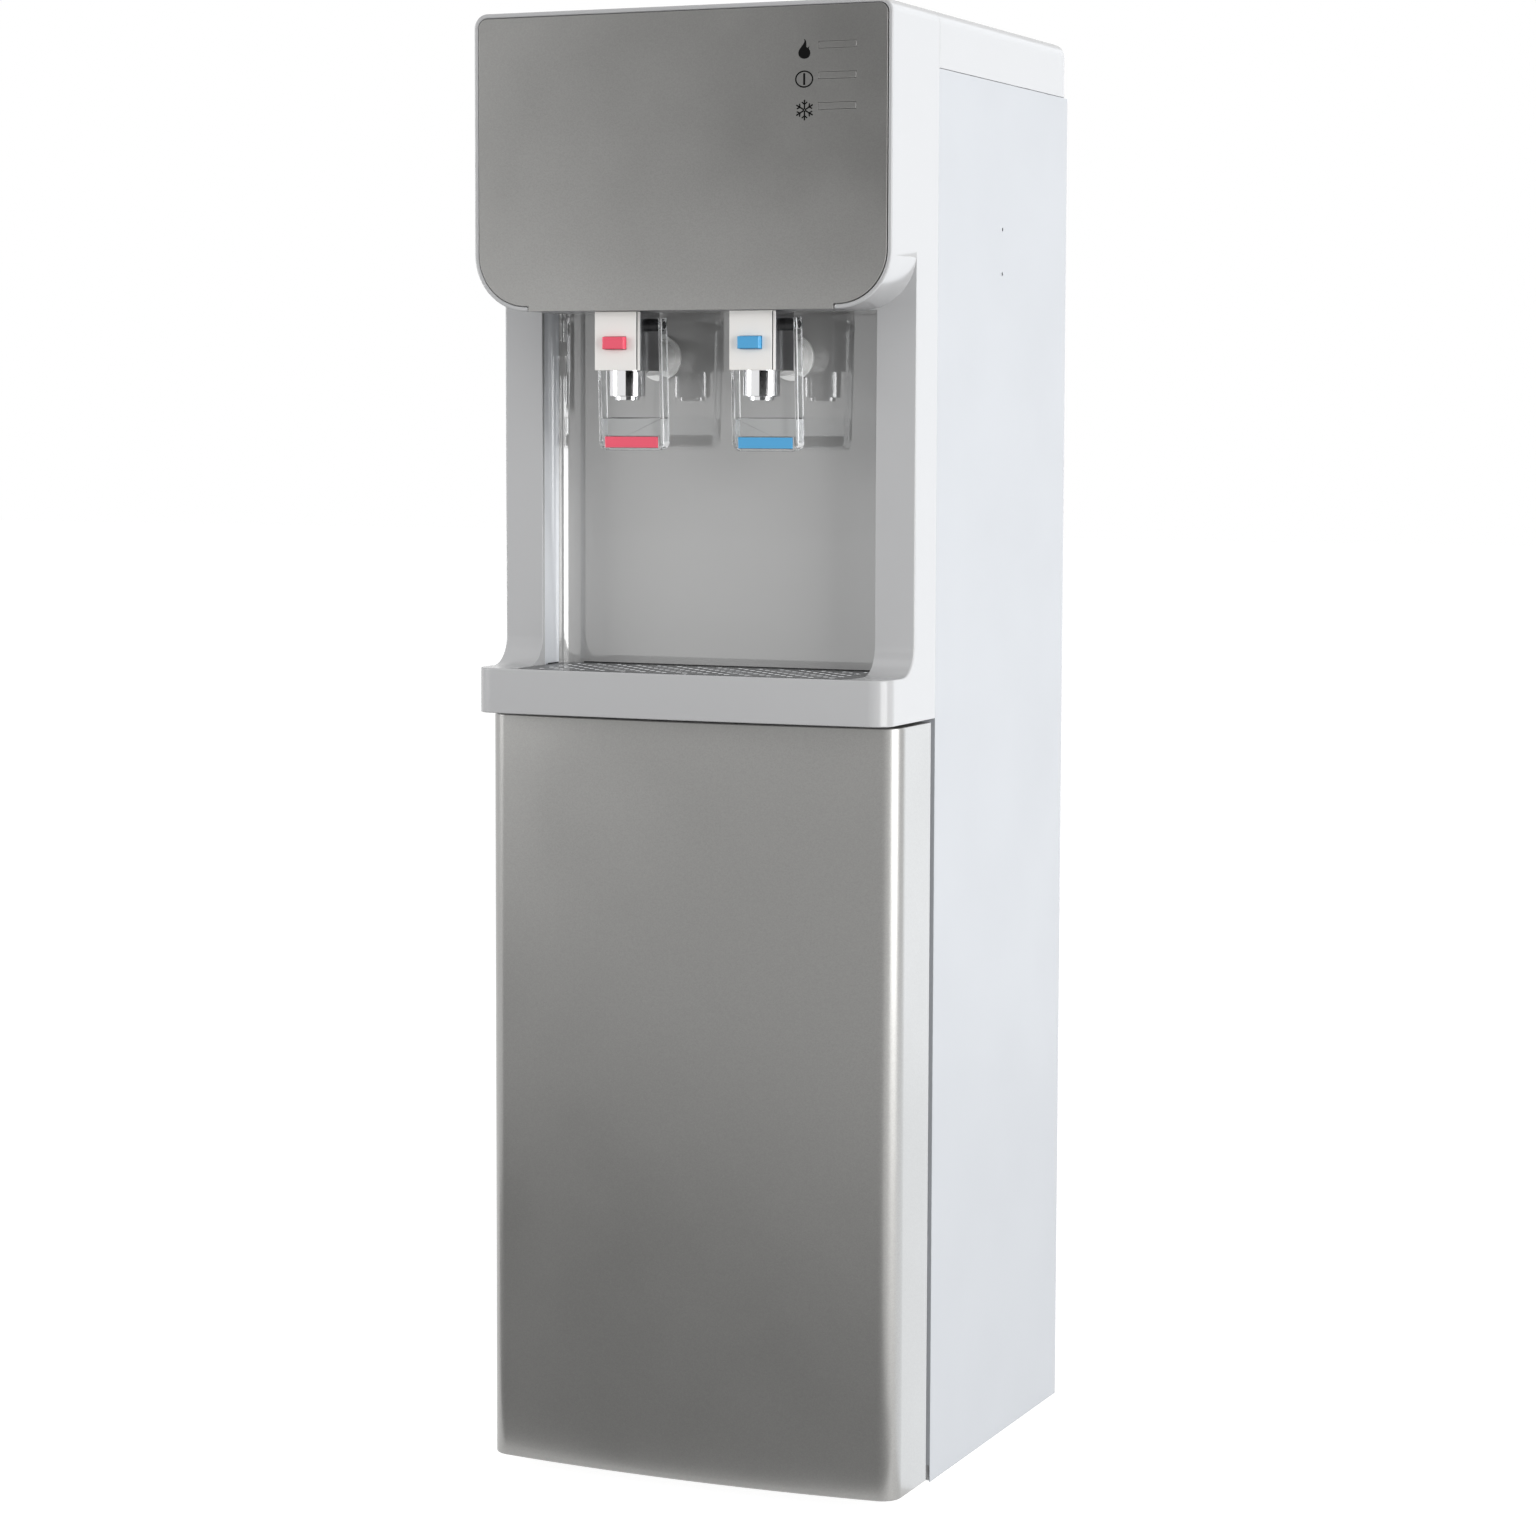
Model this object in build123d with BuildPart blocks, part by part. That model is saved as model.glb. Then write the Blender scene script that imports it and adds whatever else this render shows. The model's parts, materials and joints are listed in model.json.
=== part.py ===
from build123d import *
from math import cos, radians, sin
import os

# Free-standing hot and cold water dispenser, plumbed in, with a filter cabinet behind its door.
# X is the width, Y runs from the front to the back and Z is up from the floor, in millimetres.
os.makedirs("parts", exist_ok=True)

# Driving dimensions of the whole body
body_width = 317.0
body_depth = 366.0
body_height = 1046.0
foot_height = 7.0
head_height = 208.0
cap_height = 40.0
niche_height = 252.0
tray_height = 32.0

# Setbacks from the foremost point, the middle of the tray's bowed front
head_setback = 7.0
column_setback = 54.0
side_setback = 95.0
niche_depth = 35.0

# Thicknesses and clearances used by many pieces
wall = 3.0
liner_wall = 2.5
sheet = 0.8
plate = 1.2
seam = 0.3
turning_clearance = 0.06
sliding_clearance = 0.2
overrun = 2.0

half_width = body_width / 2
front_y = -body_depth / 2
rear_y = body_depth / 2
head_y = front_y + head_setback
column_y = front_y + column_setback
side_y = front_y + side_setback
niche_y = column_y + niche_depth
head_z = body_height - head_height
side_top_z = body_height - cap_height
tray_level = head_z - niche_height
tray_bottom_z = tray_level - tray_height
base_top_z = foot_height + plate
inner_x = half_width - sheet


def level(z):
    """Sketch plane at height z, drawn in X and Y."""
    return Plane.XY.offset(z)


def facing_front(y):
    """Sketch plane at depth y, drawn in X and Z. A negative extrusion runs to the back."""
    return Plane.XZ.offset(-y)


def facing_right(x):
    """Sketch plane at x, drawn in Y and Z."""
    return Plane.YZ.offset(x)


def save(part, name):
    """Labels a finished part and writes its file."""
    part.label = name
    export_step(part, f"parts/{name}.step")


def bowed_plan(half, rear, corner, bow, radius):
    """Plan view with a bowed front between two rounded corners."""
    with BuildSketch() as plan:
        with BuildLine():
            Line((half, corner), (half, rear))
            Line((half, rear), (-half, rear))
            Line((-half, rear), (-half, corner))
            ThreePointArc((-half, corner), (0, corner - bow), (half, corner))
        make_face()
        fillet(plan.vertices().group_by(Axis.Y)[0], radius)
    return plan.sketch


def front_view(inset, low, low_radius):
    """Front view from height low to the top, drawn inset, with rounded corners."""
    height = body_height - low
    with BuildSketch() as view:
        with Locations((0, low + height / 2)):
            Rectangle(body_width - 2 * inset, height - 2 * inset)
        fillet(view.vertices().group_by(Axis.Y)[-1], top_radius - inset)
        if low_radius > inset:
            fillet(view.vertices().group_by(Axis.Y)[0], low_radius - inset)
    return view.sketch


# Front frame: head shell, two columns and the ledge that holds the drip tray
top_radius = 10.0
head_low_radius = 40.0
tray_bow = 4.0
tray_corner_radius = 15.0
cove_radius = 21.0
column_width = 29.5
niche_half = half_width - column_width
panel_rim = 3.2
panel_thickness = 3.0
panel_notch_inset = 42.0
panel_notch_height = 8.0
head_front_wall = 2.5
tray_rim = 7.0
tray_pocket_radius = 9.0
panel_notch_half = half_width - panel_notch_inset
tray_corner_y = front_y + tray_bow
panel_back_y = head_y + panel_thickness
head_wall_back_y = panel_back_y + head_front_wall
pocket_half = niche_half - seam
pocket_front_y = front_y + tray_rim
tray_floor_z = tray_bottom_z + wall

# Indicator windows in the head panel, their lamps and the board behind them
window_width = 27.8
window_height = 4.8
window_setback = 40.2
window_drop = 50.9
window_pitch = 20.5
window_count = 3
lamp_hole_width = 20.0
lamp_hole_height = 3.6
board_post_radius = 3.5
board_post_length = 4.0
board_width = 74.0
board_height = 84.0
board_thickness = 1.6
post_inset = 6.0
window_x = half_width - window_setback
window_mid_z = body_height - window_drop
post_spacing_x = board_width - 2 * post_inset
post_spacing_z = board_height - 2 * post_inset

# Door hinge, shared by the frame, the door, its pins and its bracket
hinge_inset = 8.0
hinge_pin_radius = 3.0
door_gap = 8.0
door_rear_y = side_y - door_gap
hinge_x = -half_width + hinge_inset
hinge_y = door_rear_y - hinge_inset

tray_plan = bowed_plan(half_width, side_y, tray_corner_y, tray_bow, tray_corner_radius)
tray_inside = bowed_plan(
    half_width - wall, side_y + overrun, tray_corner_y + wall, tray_bow, tray_corner_radius - wall
)
head_face = front_view(0, head_z, head_low_radius)
head_pocket = front_view(panel_rim, head_z, head_low_radius)
head_inside = front_view(wall, head_z, head_low_radius)
body_face = front_view(0, tray_bottom_z, 0)
body_inside = front_view(wall, tray_bottom_z, 0)

with BuildPart() as front_frame:
    with BuildSketch(level(tray_bottom_z)):
        add(tray_plan)
    extrude(amount=tray_height)
    with BuildSketch(facing_front(head_y)):
        add(head_face)
    extrude(amount=head_y - column_y)
    with BuildSketch(facing_front(column_y)):
        add(body_face)
    extrude(amount=column_y - side_y)
    # Cove where each column runs out into the ledge
    with BuildSketch(facing_right(0)):
        with BuildLine():
            Line((column_y - cove_radius, tray_level), (column_y, tray_level))
            Line((column_y, tray_level), (column_y, tray_level + cove_radius))
            CenterArc((column_y - cove_radius, tray_level + cove_radius), cove_radius, 270, 90)
        make_face()
    extrude(amount=half_width, both=True)
    # Recess of the head panel, open at the bottom between two notches
    with BuildSketch(facing_front(head_y)):
        add(head_pocket)
        with Locations((0, head_z)):
            Rectangle(2 * panel_notch_half, 2 * panel_notch_height)
    extrude(amount=-panel_thickness, mode=Mode.SUBTRACT)
    # Hollows of the head, of the columns and of the ledge
    with BuildSketch(facing_front(head_wall_back_y)):
        add(head_inside)
    extrude(amount=head_wall_back_y - column_y - wall, mode=Mode.SUBTRACT)
    with BuildSketch(facing_front(column_y + wall)):
        add(body_inside)
    extrude(amount=column_y + wall - side_y - overrun, mode=Mode.SUBTRACT)
    with BuildSketch(level(tray_floor_z)):
        add(tray_inside)
    extrude(amount=tray_height - 2 * wall, mode=Mode.SUBTRACT)
    # Niche opening, drip tray opening and lamp holes
    with BuildSketch(facing_front(column_y - cove_radius - overrun)):
        with Locations((0, (head_z + tray_level) / 2)):
            Rectangle(2 * niche_half, niche_height)
    extrude(amount=-cove_radius - overrun - wall - overrun, mode=Mode.SUBTRACT)
    with BuildSketch(level(tray_level - wall - overrun)):
        with Locations((0, (pocket_front_y + side_y) / 2)):
            RectangleRounded(2 * pocket_half, side_y - pocket_front_y, tray_pocket_radius)
    extrude(amount=wall + 2 * overrun, mode=Mode.SUBTRACT)
    with BuildSketch(facing_front(panel_back_y)):
        with Locations((window_x, window_mid_z)):
            with GridLocations(0, window_pitch, 1, window_count):
                Rectangle(lamp_hole_width, lamp_hole_height)
    extrude(amount=-head_front_wall, mode=Mode.SUBTRACT)
    # Hole of the door's upper pin, and posts for the display board
    with BuildSketch(level(tray_bottom_z)):
        with Locations((hinge_x, hinge_y)):
            Circle(hinge_pin_radius)
    extrude(amount=wall, mode=Mode.SUBTRACT)
    with BuildSketch(facing_front(head_wall_back_y)):
        with Locations((window_x - window_width / 2, window_mid_z)):
            with GridLocations(post_spacing_x, post_spacing_z, 2, 2):
                Circle(board_post_radius)
    extrude(amount=-board_post_length)
save(front_frame.part, "front_frame")

# Head panel: silver plate in the head's recess, flush with the rim
panel_gap = 0.5
panel_face = front_view(panel_rim + panel_gap, head_z, head_low_radius)

with BuildPart() as head_panel:
    with BuildSketch(facing_front(head_y)):
        add(panel_face)
        with Locations((0, head_z + panel_notch_height / 2)):
            Rectangle(2 * (panel_notch_half - panel_gap), panel_notch_height)
    extrude(amount=-panel_thickness)
    with BuildSketch(facing_front(head_y)):
        with Locations((window_x, window_mid_z)):
            with GridLocations(0, window_pitch, 1, window_count):
                Rectangle(window_width, window_height)
    extrude(amount=-panel_thickness, mode=Mode.SUBTRACT)
save(head_panel.part, "head_panel")

# Indicator lenses: one clear bar in each window
lens_gap = 0.2

with BuildPart() as indicator_lenses:
    with BuildSketch(facing_front(head_y)):
        with Locations((window_x, window_mid_z)):
            with GridLocations(0, window_pitch, 1, window_count):
                Rectangle(window_width - 2 * lens_gap, window_height - 2 * lens_gap)
    extrude(amount=-panel_thickness)
save(indicator_lenses.part, "indicator_lenses")

# Display board on its four posts, with one lamp behind each window
lamp_width = 14.0
lamp_height = 2.4
board_y = head_wall_back_y + board_post_length

with BuildPart() as display_board:
    with BuildSketch(facing_front(board_y)):
        with Locations((window_x - window_width / 2, window_mid_z)):
            Rectangle(board_width, board_height)
    extrude(amount=-board_thickness)
    with BuildSketch(facing_front(board_y)):
        with Locations((window_x, window_mid_z)):
            with GridLocations(0, window_pitch, 1, window_count):
                Rectangle(lamp_width, lamp_height)
    extrude(amount=board_post_length + head_front_wall / 2)
save(display_board.part, "display_board")

# Niche liner: glossy box behind the columns, open at the front and at the bottom
liner_corner_radius = 14.0
liner_front_y = column_y + wall
liner_back_y = niche_y + liner_wall
liner_top_z = head_z + liner_wall
tap_offset = 51.6
stem_drop = 31.5
stem_radius = 9.9
stem_clearance = 0.3
stem_z = head_z - stem_drop
liner_depth = liner_back_y - liner_front_y
liner_height = liner_top_z - tray_floor_z

with BuildPart() as niche_liner:
    with BuildSketch(facing_front(liner_front_y)):
        with Locations((0, tray_floor_z + liner_height / 2)):
            Rectangle(2 * (niche_half + liner_wall), liner_height)
    extrude(amount=-liner_depth)
    with BuildSketch(level(tray_floor_z - overrun)) as liner_hollow:
        with Locations((0, (niche_y + liner_front_y - overrun) / 2)):
            Rectangle(2 * niche_half, niche_y - liner_front_y + overrun)
        fillet(liner_hollow.vertices().group_by(Axis.Y)[-1], liner_corner_radius)
    extrude(amount=head_z - tray_floor_z + overrun, mode=Mode.SUBTRACT)
    with BuildSketch(facing_front(niche_y - overrun)):
        with Locations((-tap_offset, stem_z), (tap_offset, stem_z)):
            Circle(stem_radius + stem_clearance)
    extrude(amount=-liner_wall - 2 * overrun, mode=Mode.SUBTRACT)
save(niche_liner.part, "niche_liner")

# Drip basin and its perforated grille, which lift out upwards
basin_gap = 1.0
basin_wall = 2.0
grille_thickness = 2.5
grille_hole_radius = 2.6
grille_pitch_x = 16.0
grille_pitch_y = 15.0
grille_columns = 15
grille_rows = 5
grille_skirt_height = 4.0
grille_skirt_width = 2.0
basin_half = pocket_half - basin_gap
basin_front_y = pocket_front_y + basin_gap
basin_back_y = niche_y - basin_gap
basin_depth = basin_back_y - basin_front_y
basin_mid_y = (basin_back_y + basin_front_y) / 2
basin_radius = liner_corner_radius + basin_gap
basin_top_z = tray_level - grille_thickness

with BuildPart() as drip_basin:
    with BuildSketch(level(tray_floor_z)):
        with Locations((0, basin_mid_y)):
            RectangleRounded(2 * basin_half, basin_depth, basin_radius)
    extrude(amount=basin_top_z - tray_floor_z)
    with BuildSketch(level(tray_floor_z + basin_wall)):
        with Locations((0, basin_mid_y)):
            RectangleRounded(
                2 * (basin_half - basin_wall), basin_depth - 2 * basin_wall, basin_radius - basin_wall
            )
    extrude(amount=basin_top_z - tray_floor_z, mode=Mode.SUBTRACT)
save(drip_basin.part, "drip_basin")

skirt_inset = basin_wall + sliding_clearance

with BuildPart() as drip_grille:
    with BuildSketch(level(basin_top_z)):
        with Locations((0, basin_mid_y)):
            RectangleRounded(2 * basin_half, basin_depth, basin_radius)
            with GridLocations(grille_pitch_x, grille_pitch_y, grille_columns, grille_rows):
                Circle(grille_hole_radius, mode=Mode.SUBTRACT)
            with GridLocations(grille_pitch_x, grille_pitch_y, grille_columns - 1, grille_rows - 1):
                Circle(grille_hole_radius, mode=Mode.SUBTRACT)
    extrude(amount=grille_thickness)
    with BuildSketch(level(basin_top_z)):
        with Locations((0, basin_mid_y)):
            RectangleRounded(
                2 * (basin_half - skirt_inset), basin_depth - 2 * skirt_inset, basin_radius - skirt_inset
            )
            RectangleRounded(
                2 * (basin_half - skirt_inset - grille_skirt_width),
                basin_depth - 2 * (skirt_inset + grille_skirt_width),
                basin_radius - skirt_inset - grille_skirt_width,
                mode=Mode.SUBTRACT,
            )
    extrude(amount=-grille_skirt_height)
save(drip_grille.part, "drip_grille")

# Top cover: white cap over the rear half, open at the front and below
cap_rear_radius = 9.5
cap_front_y = side_y + seam
cap_face = front_view(0, side_top_z, 0)

with BuildPart() as top_cover:
    with BuildSketch(facing_front(cap_front_y)):
        add(cap_face)
    extrude(amount=cap_front_y - rear_y)
    rear_edges = top_cover.edges().filter_by(Axis.X).group_by(Axis.Y)[-1]
    fillet(rear_edges.sort_by(Axis.Z)[-1], cap_rear_radius)
    open_faces = [top_cover.faces().sort_by(Axis.Z)[0], top_cover.faces().sort_by(Axis.Y)[0]]
    offset(amount=-wall, openings=open_faces)
save(top_cover.part, "top_cover")

# Side panels: folded steel sheets with a return at the front and at the back
return_width = 12.0
return_lift = 12.0
shelf_hole_radius = 1.3
shelf_hole_setback = 140.6
shelf_hole_drop = 105.2
shelf_hole_pitch = 32.1
rivet_radius = 1.8
rivet_inset = 7.0
rivet_low_z = 300.0
rivet_drop = 176.0
rivet_high_z = side_top_z - rivet_drop
shelf_hole_y = rear_y - shelf_hole_setback
shelf_hole_high_z = side_top_z - shelf_hole_drop
shelf_hole_low_z = shelf_hole_high_z - shelf_hole_pitch
panel_top_z = side_top_z - seam

for side, name in ((-1, "side_panel_left"), (1, "side_panel_right")):
    with BuildPart() as side_panel:
        with BuildSketch(level(foot_height)):
            with Locations((side * (half_width - sheet / 2), (side_y + rear_y) / 2)):
                Rectangle(sheet, rear_y - side_y)
            with Locations((side * (half_width - return_width / 2), rear_y - sheet / 2)):
                Rectangle(return_width, sheet)
        extrude(amount=panel_top_z - foot_height)
        with BuildSketch(level(foot_height + return_lift)):
            with Locations((side * (half_width - return_width / 2), side_y + sheet / 2)):
                Rectangle(return_width, sheet)
        extrude(amount=panel_top_z - foot_height - return_lift)
        with BuildSketch(facing_right(side * (half_width - sheet - overrun))):
            with Locations((shelf_hole_y, shelf_hole_high_z), (shelf_hole_y, shelf_hole_low_z)):
                Circle(shelf_hole_radius)
        extrude(amount=side * (sheet + 2 * overrun), mode=Mode.SUBTRACT)
        with BuildSketch(facing_front(rear_y)):
            with Locations((0, rivet_low_z), (0, rivet_high_z)):
                with Locations((side * (half_width - rivet_inset), 0)):
                    Circle(rivet_radius)
        extrude(amount=sheet, mode=Mode.SUBTRACT)
    save(side_panel.part, name)

# Base plate: flat steel floor with folded sides and back
base_flange_height = 18.0
base_gap = 0.3
base_half = inner_x - base_gap
base_front_y = side_y + sheet + liner_wall + base_gap
base_rear_y = rear_y - sheet - base_gap

# Compressor feet and their rubber mounts, needed by the base plate's holes
compressor_x = 25.0
compressor_setback = 99.0
mount_spacing_x = 130.0
mount_spacing_y = 86.0
mount_hole_radius = 4.0
compressor_y = rear_y - compressor_setback

with BuildPart() as base_plate:
    with BuildSketch(level(foot_height)):
        with Locations((0, (base_front_y + base_rear_y) / 2)):
            Rectangle(2 * base_half, base_rear_y - base_front_y)
    extrude(amount=base_flange_height)
    with BuildSketch(level(base_top_z)):
        with Locations((0, (base_front_y + base_rear_y) / 2 - plate - overrun)):
            Rectangle(2 * (base_half - plate), base_rear_y - base_front_y + 2 * overrun)
    extrude(amount=base_flange_height, mode=Mode.SUBTRACT)
    with BuildSketch(level(foot_height)):
        with Locations((compressor_x, compressor_y)):
            with GridLocations(mount_spacing_x, mount_spacing_y, 2, 2):
                Circle(mount_hole_radius)
    extrude(amount=plate, mode=Mode.SUBTRACT)
save(base_plate.part, "base_plate")

# Rubber feet, set back so that the body hides them
foot_radius = 16.0
foot_chamfer = 1.5
foot_inset_x = 40.0
foot_inset_y = 28.0
foot_spacing_x = 2 * (half_width - foot_inset_x)
foot_spacing_y = base_rear_y - base_front_y - 2 * foot_inset_y

with BuildPart() as rubber_feet:
    with BuildSketch(level(0)):
        with Locations((0, (base_front_y + base_rear_y) / 2)):
            with GridLocations(foot_spacing_x, foot_spacing_y, 2, 2):
                Circle(foot_radius)
    extrude(amount=foot_height)
    chamfer(rubber_feet.edges().group_by(Axis.Z)[0], foot_chamfer)
save(rubber_feet.part, "rubber_feet")

# Lower door: deep moulded shell with a bowed front, and the liner that closes its back
door_bow = 10.0
door_setback = 26.6
door_corner_radius = 15.0
door_gap_top = 2.0
door_gap_bottom = 3.0
door_boss_radius = 4.9
door_boss_length = 12.0
door_corner_y = front_y + door_setback
door_bottom_z = foot_height + door_gap_bottom
door_top_z = tray_bottom_z - door_gap_top
door_hole_radius = hinge_pin_radius + turning_clearance
door_plan = bowed_plan(half_width, door_rear_y, door_corner_y, door_bow, door_corner_radius)
door_inside = bowed_plan(
    half_width - wall, door_rear_y + overrun, door_corner_y + wall, door_bow, door_corner_radius - wall
)

with BuildPart() as door_shell:
    with BuildSketch(level(door_bottom_z)):
        add(door_plan)
    extrude(amount=door_top_z - door_bottom_z)
    with BuildSketch(level(door_bottom_z + wall)):
        add(door_inside)
    extrude(amount=door_top_z - door_bottom_z - 2 * wall, mode=Mode.SUBTRACT)
    with BuildSketch(level(door_bottom_z)):
        with Locations((hinge_x, hinge_y)):
            Circle(door_boss_radius)
    extrude(amount=door_boss_length)
    with BuildSketch(level(door_top_z)):
        with Locations((hinge_x, hinge_y)):
            Circle(door_boss_radius)
    extrude(amount=-door_boss_length)
    with BuildSketch(level(door_bottom_z)):
        with Locations((hinge_x, hinge_y)):
            Circle(door_hole_radius)
    extrude(amount=door_top_z - door_bottom_z, mode=Mode.SUBTRACT)
save(door_shell.part, "door_shell")

liner_fit = 0.3
liner_panel_inset = 30.0
liner_panel_depth = 1.2
liner_panel_radius = 8.0
door_liner_width = 2 * (half_width - wall - liner_fit)
door_liner_height = door_top_z - door_bottom_z - 2 * (wall + liner_fit)
door_mid_z = (door_top_z + door_bottom_z) / 2

with BuildPart() as door_liner:
    with BuildSketch(facing_front(door_rear_y - liner_wall)):
        with Locations((0, door_mid_z)):
            Rectangle(door_liner_width, door_liner_height)
    extrude(amount=-liner_wall)
    with BuildSketch(facing_front(door_rear_y - liner_panel_depth)):
        with Locations((0, door_mid_z)):
            RectangleRounded(
                door_liner_width - 2 * liner_panel_inset,
                door_liner_height - 2 * liner_panel_inset,
                liner_panel_radius,
            )
    extrude(amount=-liner_panel_depth, mode=Mode.SUBTRACT)
save(door_liner.part, "door_liner")

# Lower hinge bracket on the base plate, and the two hinge pins
bracket_width = 15.0
bracket_reach = 9.0
bracket_hold = 30.0
bracket_left_x = hinge_x - hinge_inset + sheet + base_gap + plate
bracket_front_y = hinge_y - bracket_reach
bracket_back_y = base_front_y + bracket_hold
pin_engagement = 11.0

with BuildPart() as lower_hinge_bracket:
    with BuildSketch(level(base_top_z)):
        with Locations((bracket_left_x + bracket_width / 2, (bracket_front_y + bracket_back_y) / 2)):
            Rectangle(bracket_width, bracket_back_y - bracket_front_y)
        with Locations((hinge_x, hinge_y)):
            Circle(hinge_pin_radius, mode=Mode.SUBTRACT)
    extrude(amount=plate)
save(lower_hinge_bracket.part, "lower_hinge_bracket")

with BuildPart() as door_hinge_pins:
    with BuildSketch(level(base_top_z)):
        with Locations((hinge_x, hinge_y)):
            Circle(hinge_pin_radius)
    extrude(amount=door_bottom_z + pin_engagement - base_top_z)
    with BuildSketch(level(tray_floor_z)):
        with Locations((hinge_x, hinge_y)):
            Circle(hinge_pin_radius)
    extrude(amount=door_top_z - pin_engagement - tray_floor_z)
save(door_hinge_pins.part, "door_hinge_pins")

# Cabinet liner: bulkhead behind the door with the tub that holds the filters
cabinet_inset = 26.5
cabinet_drop = 16.0
cabinet_height = 333.0
cabinet_depth = 96.0
cabinet_radius = 10.0
cabinet_half = half_width - cabinet_inset
cabinet_top_z = tray_bottom_z - cabinet_drop
cabinet_bottom_z = cabinet_top_z - cabinet_height
cabinet_back_y = side_y + cabinet_depth
bulkhead_y = side_y + sheet
bulkhead_half = inner_x - base_gap
bulkhead_bottom_z = base_top_z + plate + base_gap
bulkhead_top_z = tray_bottom_z - base_gap
cabinet_mid_z = (cabinet_top_z + cabinet_bottom_z) / 2

with BuildPart() as cabinet_liner:
    with BuildSketch(facing_front(bulkhead_y)):
        with Locations((0, (bulkhead_top_z + bulkhead_bottom_z) / 2)):
            Rectangle(2 * bulkhead_half, bulkhead_top_z - bulkhead_bottom_z)
    extrude(amount=-liner_wall)
    with BuildSketch(facing_front(bulkhead_y)):
        with Locations((0, cabinet_mid_z)):
            RectangleRounded(
                2 * (cabinet_half + liner_wall), cabinet_height + 2 * liner_wall, cabinet_radius + liner_wall
            )
    extrude(amount=bulkhead_y - cabinet_back_y - liner_wall)
    with BuildSketch(facing_front(bulkhead_y)):
        with Locations((0, cabinet_mid_z)):
            RectangleRounded(2 * cabinet_half, cabinet_height, cabinet_radius)
    extrude(amount=bulkhead_y - cabinet_back_y, mode=Mode.SUBTRACT)
save(cabinet_liner.part, "cabinet_liner")

# Door magnet on the bulkhead and its steel strike on the door liner
strike_thickness = 1.5
strike_width = 18.0
strike_height = 50.0
magnet_gap = 0.2
magnet_width = 14.0
magnet_height = 44.0
catch_z = 300.0
catch_radius = 2.0
magnet_front_y = door_rear_y + strike_thickness + magnet_gap
magnet_x = half_width - return_width - magnet_width / 2 - seam

with BuildPart() as door_magnet:
    with BuildSketch(facing_front(magnet_front_y)):
        with Locations((magnet_x, catch_z)):
            RectangleRounded(magnet_width, magnet_height, catch_radius)
    extrude(amount=magnet_front_y - bulkhead_y)
save(door_magnet.part, "door_magnet")

with BuildPart() as door_strike:
    with BuildSketch(facing_front(door_rear_y)):
        with Locations((magnet_x, catch_z)):
            RectangleRounded(strike_width, strike_height, catch_radius)
    extrude(amount=-strike_thickness)
save(door_strike.part, "door_strike")

# Filter manifold across the tub's back, and three twist-lock cartridges that hang from it
cartridge_radius = 31.0
cartridge_side_gap = 9.0
cartridge_count = 3
cartridge_length = 232.0
cartridge_edge_radius = 12.0
neck_radius = 20.0
neck_length = 19.0
manifold_height = 44.0
manifold_drop = 6.0
manifold_gap = 0.5
manifold_reach = 6.0
collar_radius = 27.0
cartridge_pitch = 2 * (cabinet_half - cartridge_radius - cartridge_side_gap) / (cartridge_count - 1)
filter_y = cabinet_back_y - cartridge_radius - manifold_reach - manifold_reach
manifold_top_z = cabinet_top_z - manifold_drop
manifold_bottom_z = manifold_top_z - manifold_height
bore_depth = neck_length + manifold_gap
manifold_width = cartridge_pitch * (cartridge_count - 1) + 2 * collar_radius
manifold_back_depth = cabinet_back_y - filter_y

with BuildPart() as filter_manifold:
    with BuildSketch(level(manifold_bottom_z)):
        with Locations((0, filter_y)):
            with GridLocations(cartridge_pitch, 0, cartridge_count, 1):
                Circle(collar_radius)
        with Locations((0, filter_y + manifold_back_depth / 2)):
            Rectangle(manifold_width, manifold_back_depth)
    extrude(amount=manifold_height)
    with BuildSketch(level(manifold_bottom_z)):
        with Locations((0, filter_y)):
            with GridLocations(cartridge_pitch, 0, cartridge_count, 1):
                Circle(neck_radius + turning_clearance)
    extrude(amount=bore_depth, mode=Mode.SUBTRACT)
save(filter_manifold.part, "filter_manifold")

cartridge_top_z = manifold_bottom_z - manifold_gap
cartridge_bottom_z = cartridge_top_z - cartridge_length

for number in range(cartridge_count):
    cartridge_x = (number - (cartridge_count - 1) / 2) * cartridge_pitch
    with BuildPart() as filter_cartridge:
        with BuildSketch(level(cartridge_bottom_z)):
            with Locations((cartridge_x, filter_y)):
                Circle(cartridge_radius)
        extrude(amount=cartridge_length)
        round_edges = filter_cartridge.edges().filter_by(GeomType.CIRCLE)
        fillet(round_edges.sort_by(Axis.Z)[0], cartridge_edge_radius)
        fillet(filter_cartridge.edges().sort_by(Axis.Z)[-1], cartridge_edge_radius / 2)
        with BuildSketch(level(cartridge_top_z)):
            with Locations((cartridge_x, filter_y)):
                Circle(neck_radius)
        extrude(amount=neck_length)
    save(filter_cartridge.part, f"filter_cartridge_{number + 1}")

# Back panel: recessed sheet with vents, switch and inlet cut-outs
back_recess = 23.0
back_bottom_z = 200.0
back_return = 12.0
back_gap = 0.3
back_panel_y = rear_y - back_recess
back_half = inner_x - back_gap
back_top_z = panel_top_z - back_gap
vent_width = 60.0
vent_height = 5.0
vent_pitch_x = 150.0
vent_pitch_z = 40.0
vent_bottom_z = 320.0
vent_drop = 166.0
vent_top_z = side_top_z - vent_drop
vent_mid_z = (vent_top_z + vent_bottom_z) / 2
vent_rows = int((vent_top_z - vent_bottom_z) // vent_pitch_z) + 1
switch_cut_width = 27.4
switch_cut_height = 22.0
switch_pitch = 46.0
switch_x = 70.0
fitting_drop = 58.0
fitting_row_z = side_top_z - fitting_drop
power_cut_width = 27.6
power_cut_height = 20.2
power_x = -30.0
inlet_x = -86.0
inlet_radius = 6.0
drain_radius = 7.0
drain_x = -60.0
drain_pitch = 44.0
drain_z = 214.0

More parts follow.
